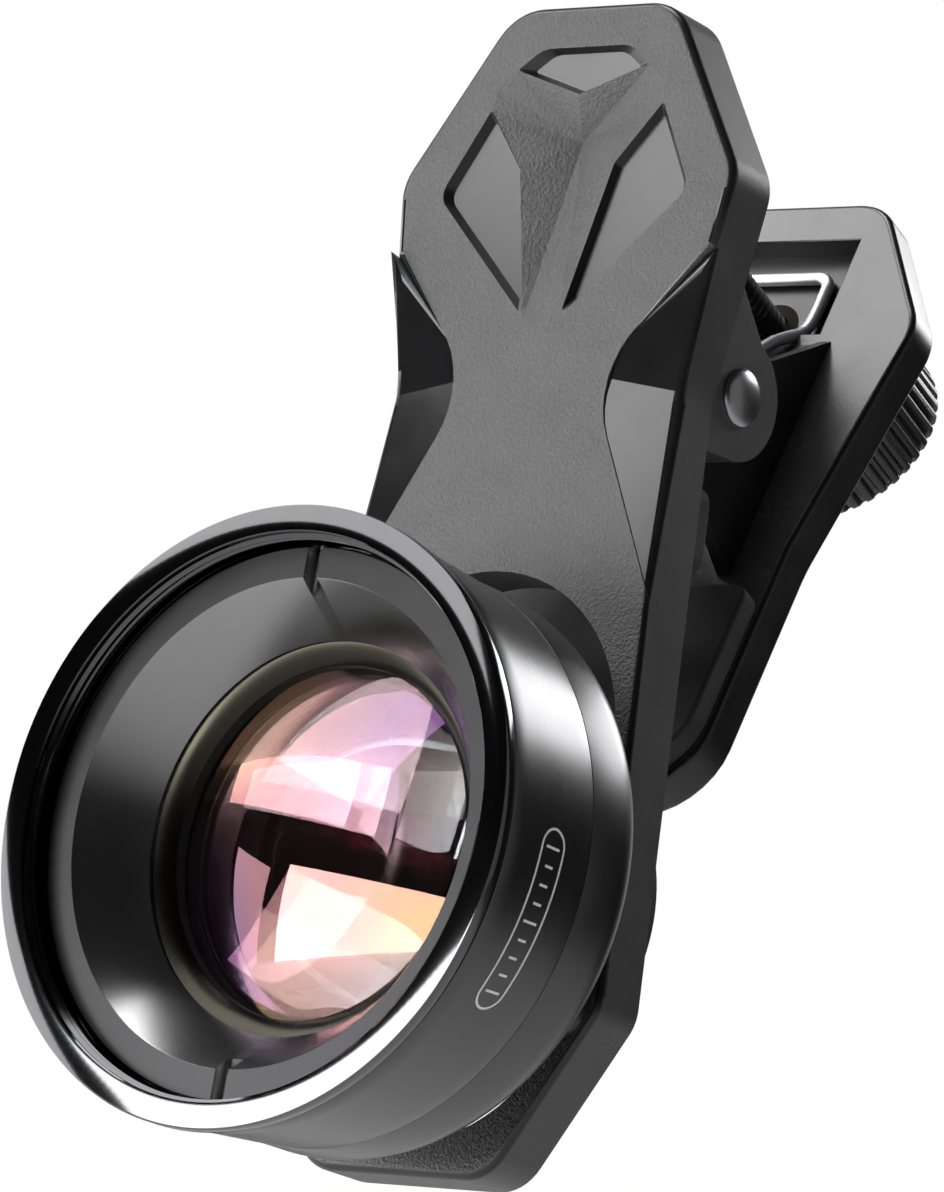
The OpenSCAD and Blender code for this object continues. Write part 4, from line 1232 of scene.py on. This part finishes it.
    def _world(self) -> None:
        """White to the camera, a white wall behind the clip for metal and glass, dim elsewhere."""
        world = bpy.data.worlds.new("studio_world")
        world.use_nodes = True
        bpy.context.scene.world = world
        tree = world.node_tree
        sky = tree.nodes["Background"]
        sky.inputs["Color"].default_value = (0.5, 0.5, 0.52, 1)
        sky.inputs["Strength"].default_value = 0.12
        white = tree.nodes.new("ShaderNodeBackground")
        white.inputs["Color"].default_value = (1, 1, 1, 1)
        room = tree.nodes.new("ShaderNodeBackground")
        path = tree.nodes.new("ShaderNodeLightPath")
        way = tree.nodes.new("ShaderNodeTexCoord")
        along = tree.nodes.new("ShaderNodeVectorMath")
        along.operation = "DOT_PRODUCT"
        right, up, back = self.axes()
        along.inputs[1].default_value = tuple(-back)
        tree.links.new(way.outputs["Generated"], along.inputs[0])
        wall = tree.nodes.new("ShaderNodeMapRange")
        wall.interpolation_type = "SMOOTHSTEP"
        wall.inputs["From Min"].default_value = 0.7
        wall.inputs["From Max"].default_value = 0.95
        wall.inputs["To Min"].default_value = 0.03
        wall.inputs["To Max"].default_value = 0.6
        tree.links.new(along.outputs["Value"], wall.inputs["Value"])
        tree.links.new(wall.outputs["Result"], room.inputs["Strength"])
        seen = tree.nodes.new("ShaderNodeMath")
        seen.operation = "MAXIMUM"
        tree.links.new(path.outputs["Is Glossy Ray"], seen.inputs[0])
        tree.links.new(path.outputs["Is Transmission Ray"], seen.inputs[1])
        gloss = tree.nodes.new("ShaderNodeMixShader")
        tree.links.new(seen.outputs["Value"], gloss.inputs["Fac"])
        tree.links.new(sky.outputs["Background"], gloss.inputs[1])
        tree.links.new(room.outputs["Background"], gloss.inputs[2])
        final = tree.nodes.new("ShaderNodeMixShader")
        tree.links.new(path.outputs["Is Camera Ray"], final.inputs["Fac"])
        tree.links.new(gloss.outputs["Shader"], final.inputs[1])
        tree.links.new(white.outputs["Background"], final.inputs[2])
        tree.links.new(final.outputs["Shader"], tree.nodes["World Output"].inputs["Surface"])


PLAIN_NODES: dict[str, AnyFinish] = {
    "spacer_ring": STOP_BLACK,
    "aperture_stop": STOP_BLACK,
    "rear_retaining_ring": INNER_BLACK,
    # The insert is painted near black as shade.
    "screw_insert": INSERT_PAINTED_SHADE,
    "knob_washer": BRIGHT_STEEL,
}


def finish_plain_nodes() -> None:
    """Gives each CAD node that is shown as it is its finish."""
    for name, finish in PLAIN_NODES.items():
        Bench.paint(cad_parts[name], [finish])
        LOG.info("%s: finish %s", name, finish.name)


def main() -> None:
    """Dresses the clip and the lens, then builds the studio."""
    logging.basicConfig(level=logging.INFO, format="%(name)s: %(message)s")
    finish_plain_nodes()
    FrontLever().build()
    rear = RearLever()
    rear.build()
    Hardware(rear).build()
    Carriage().build()
    Lens().build()
    Studio().build()


if __name__ == "__main__":
    main()
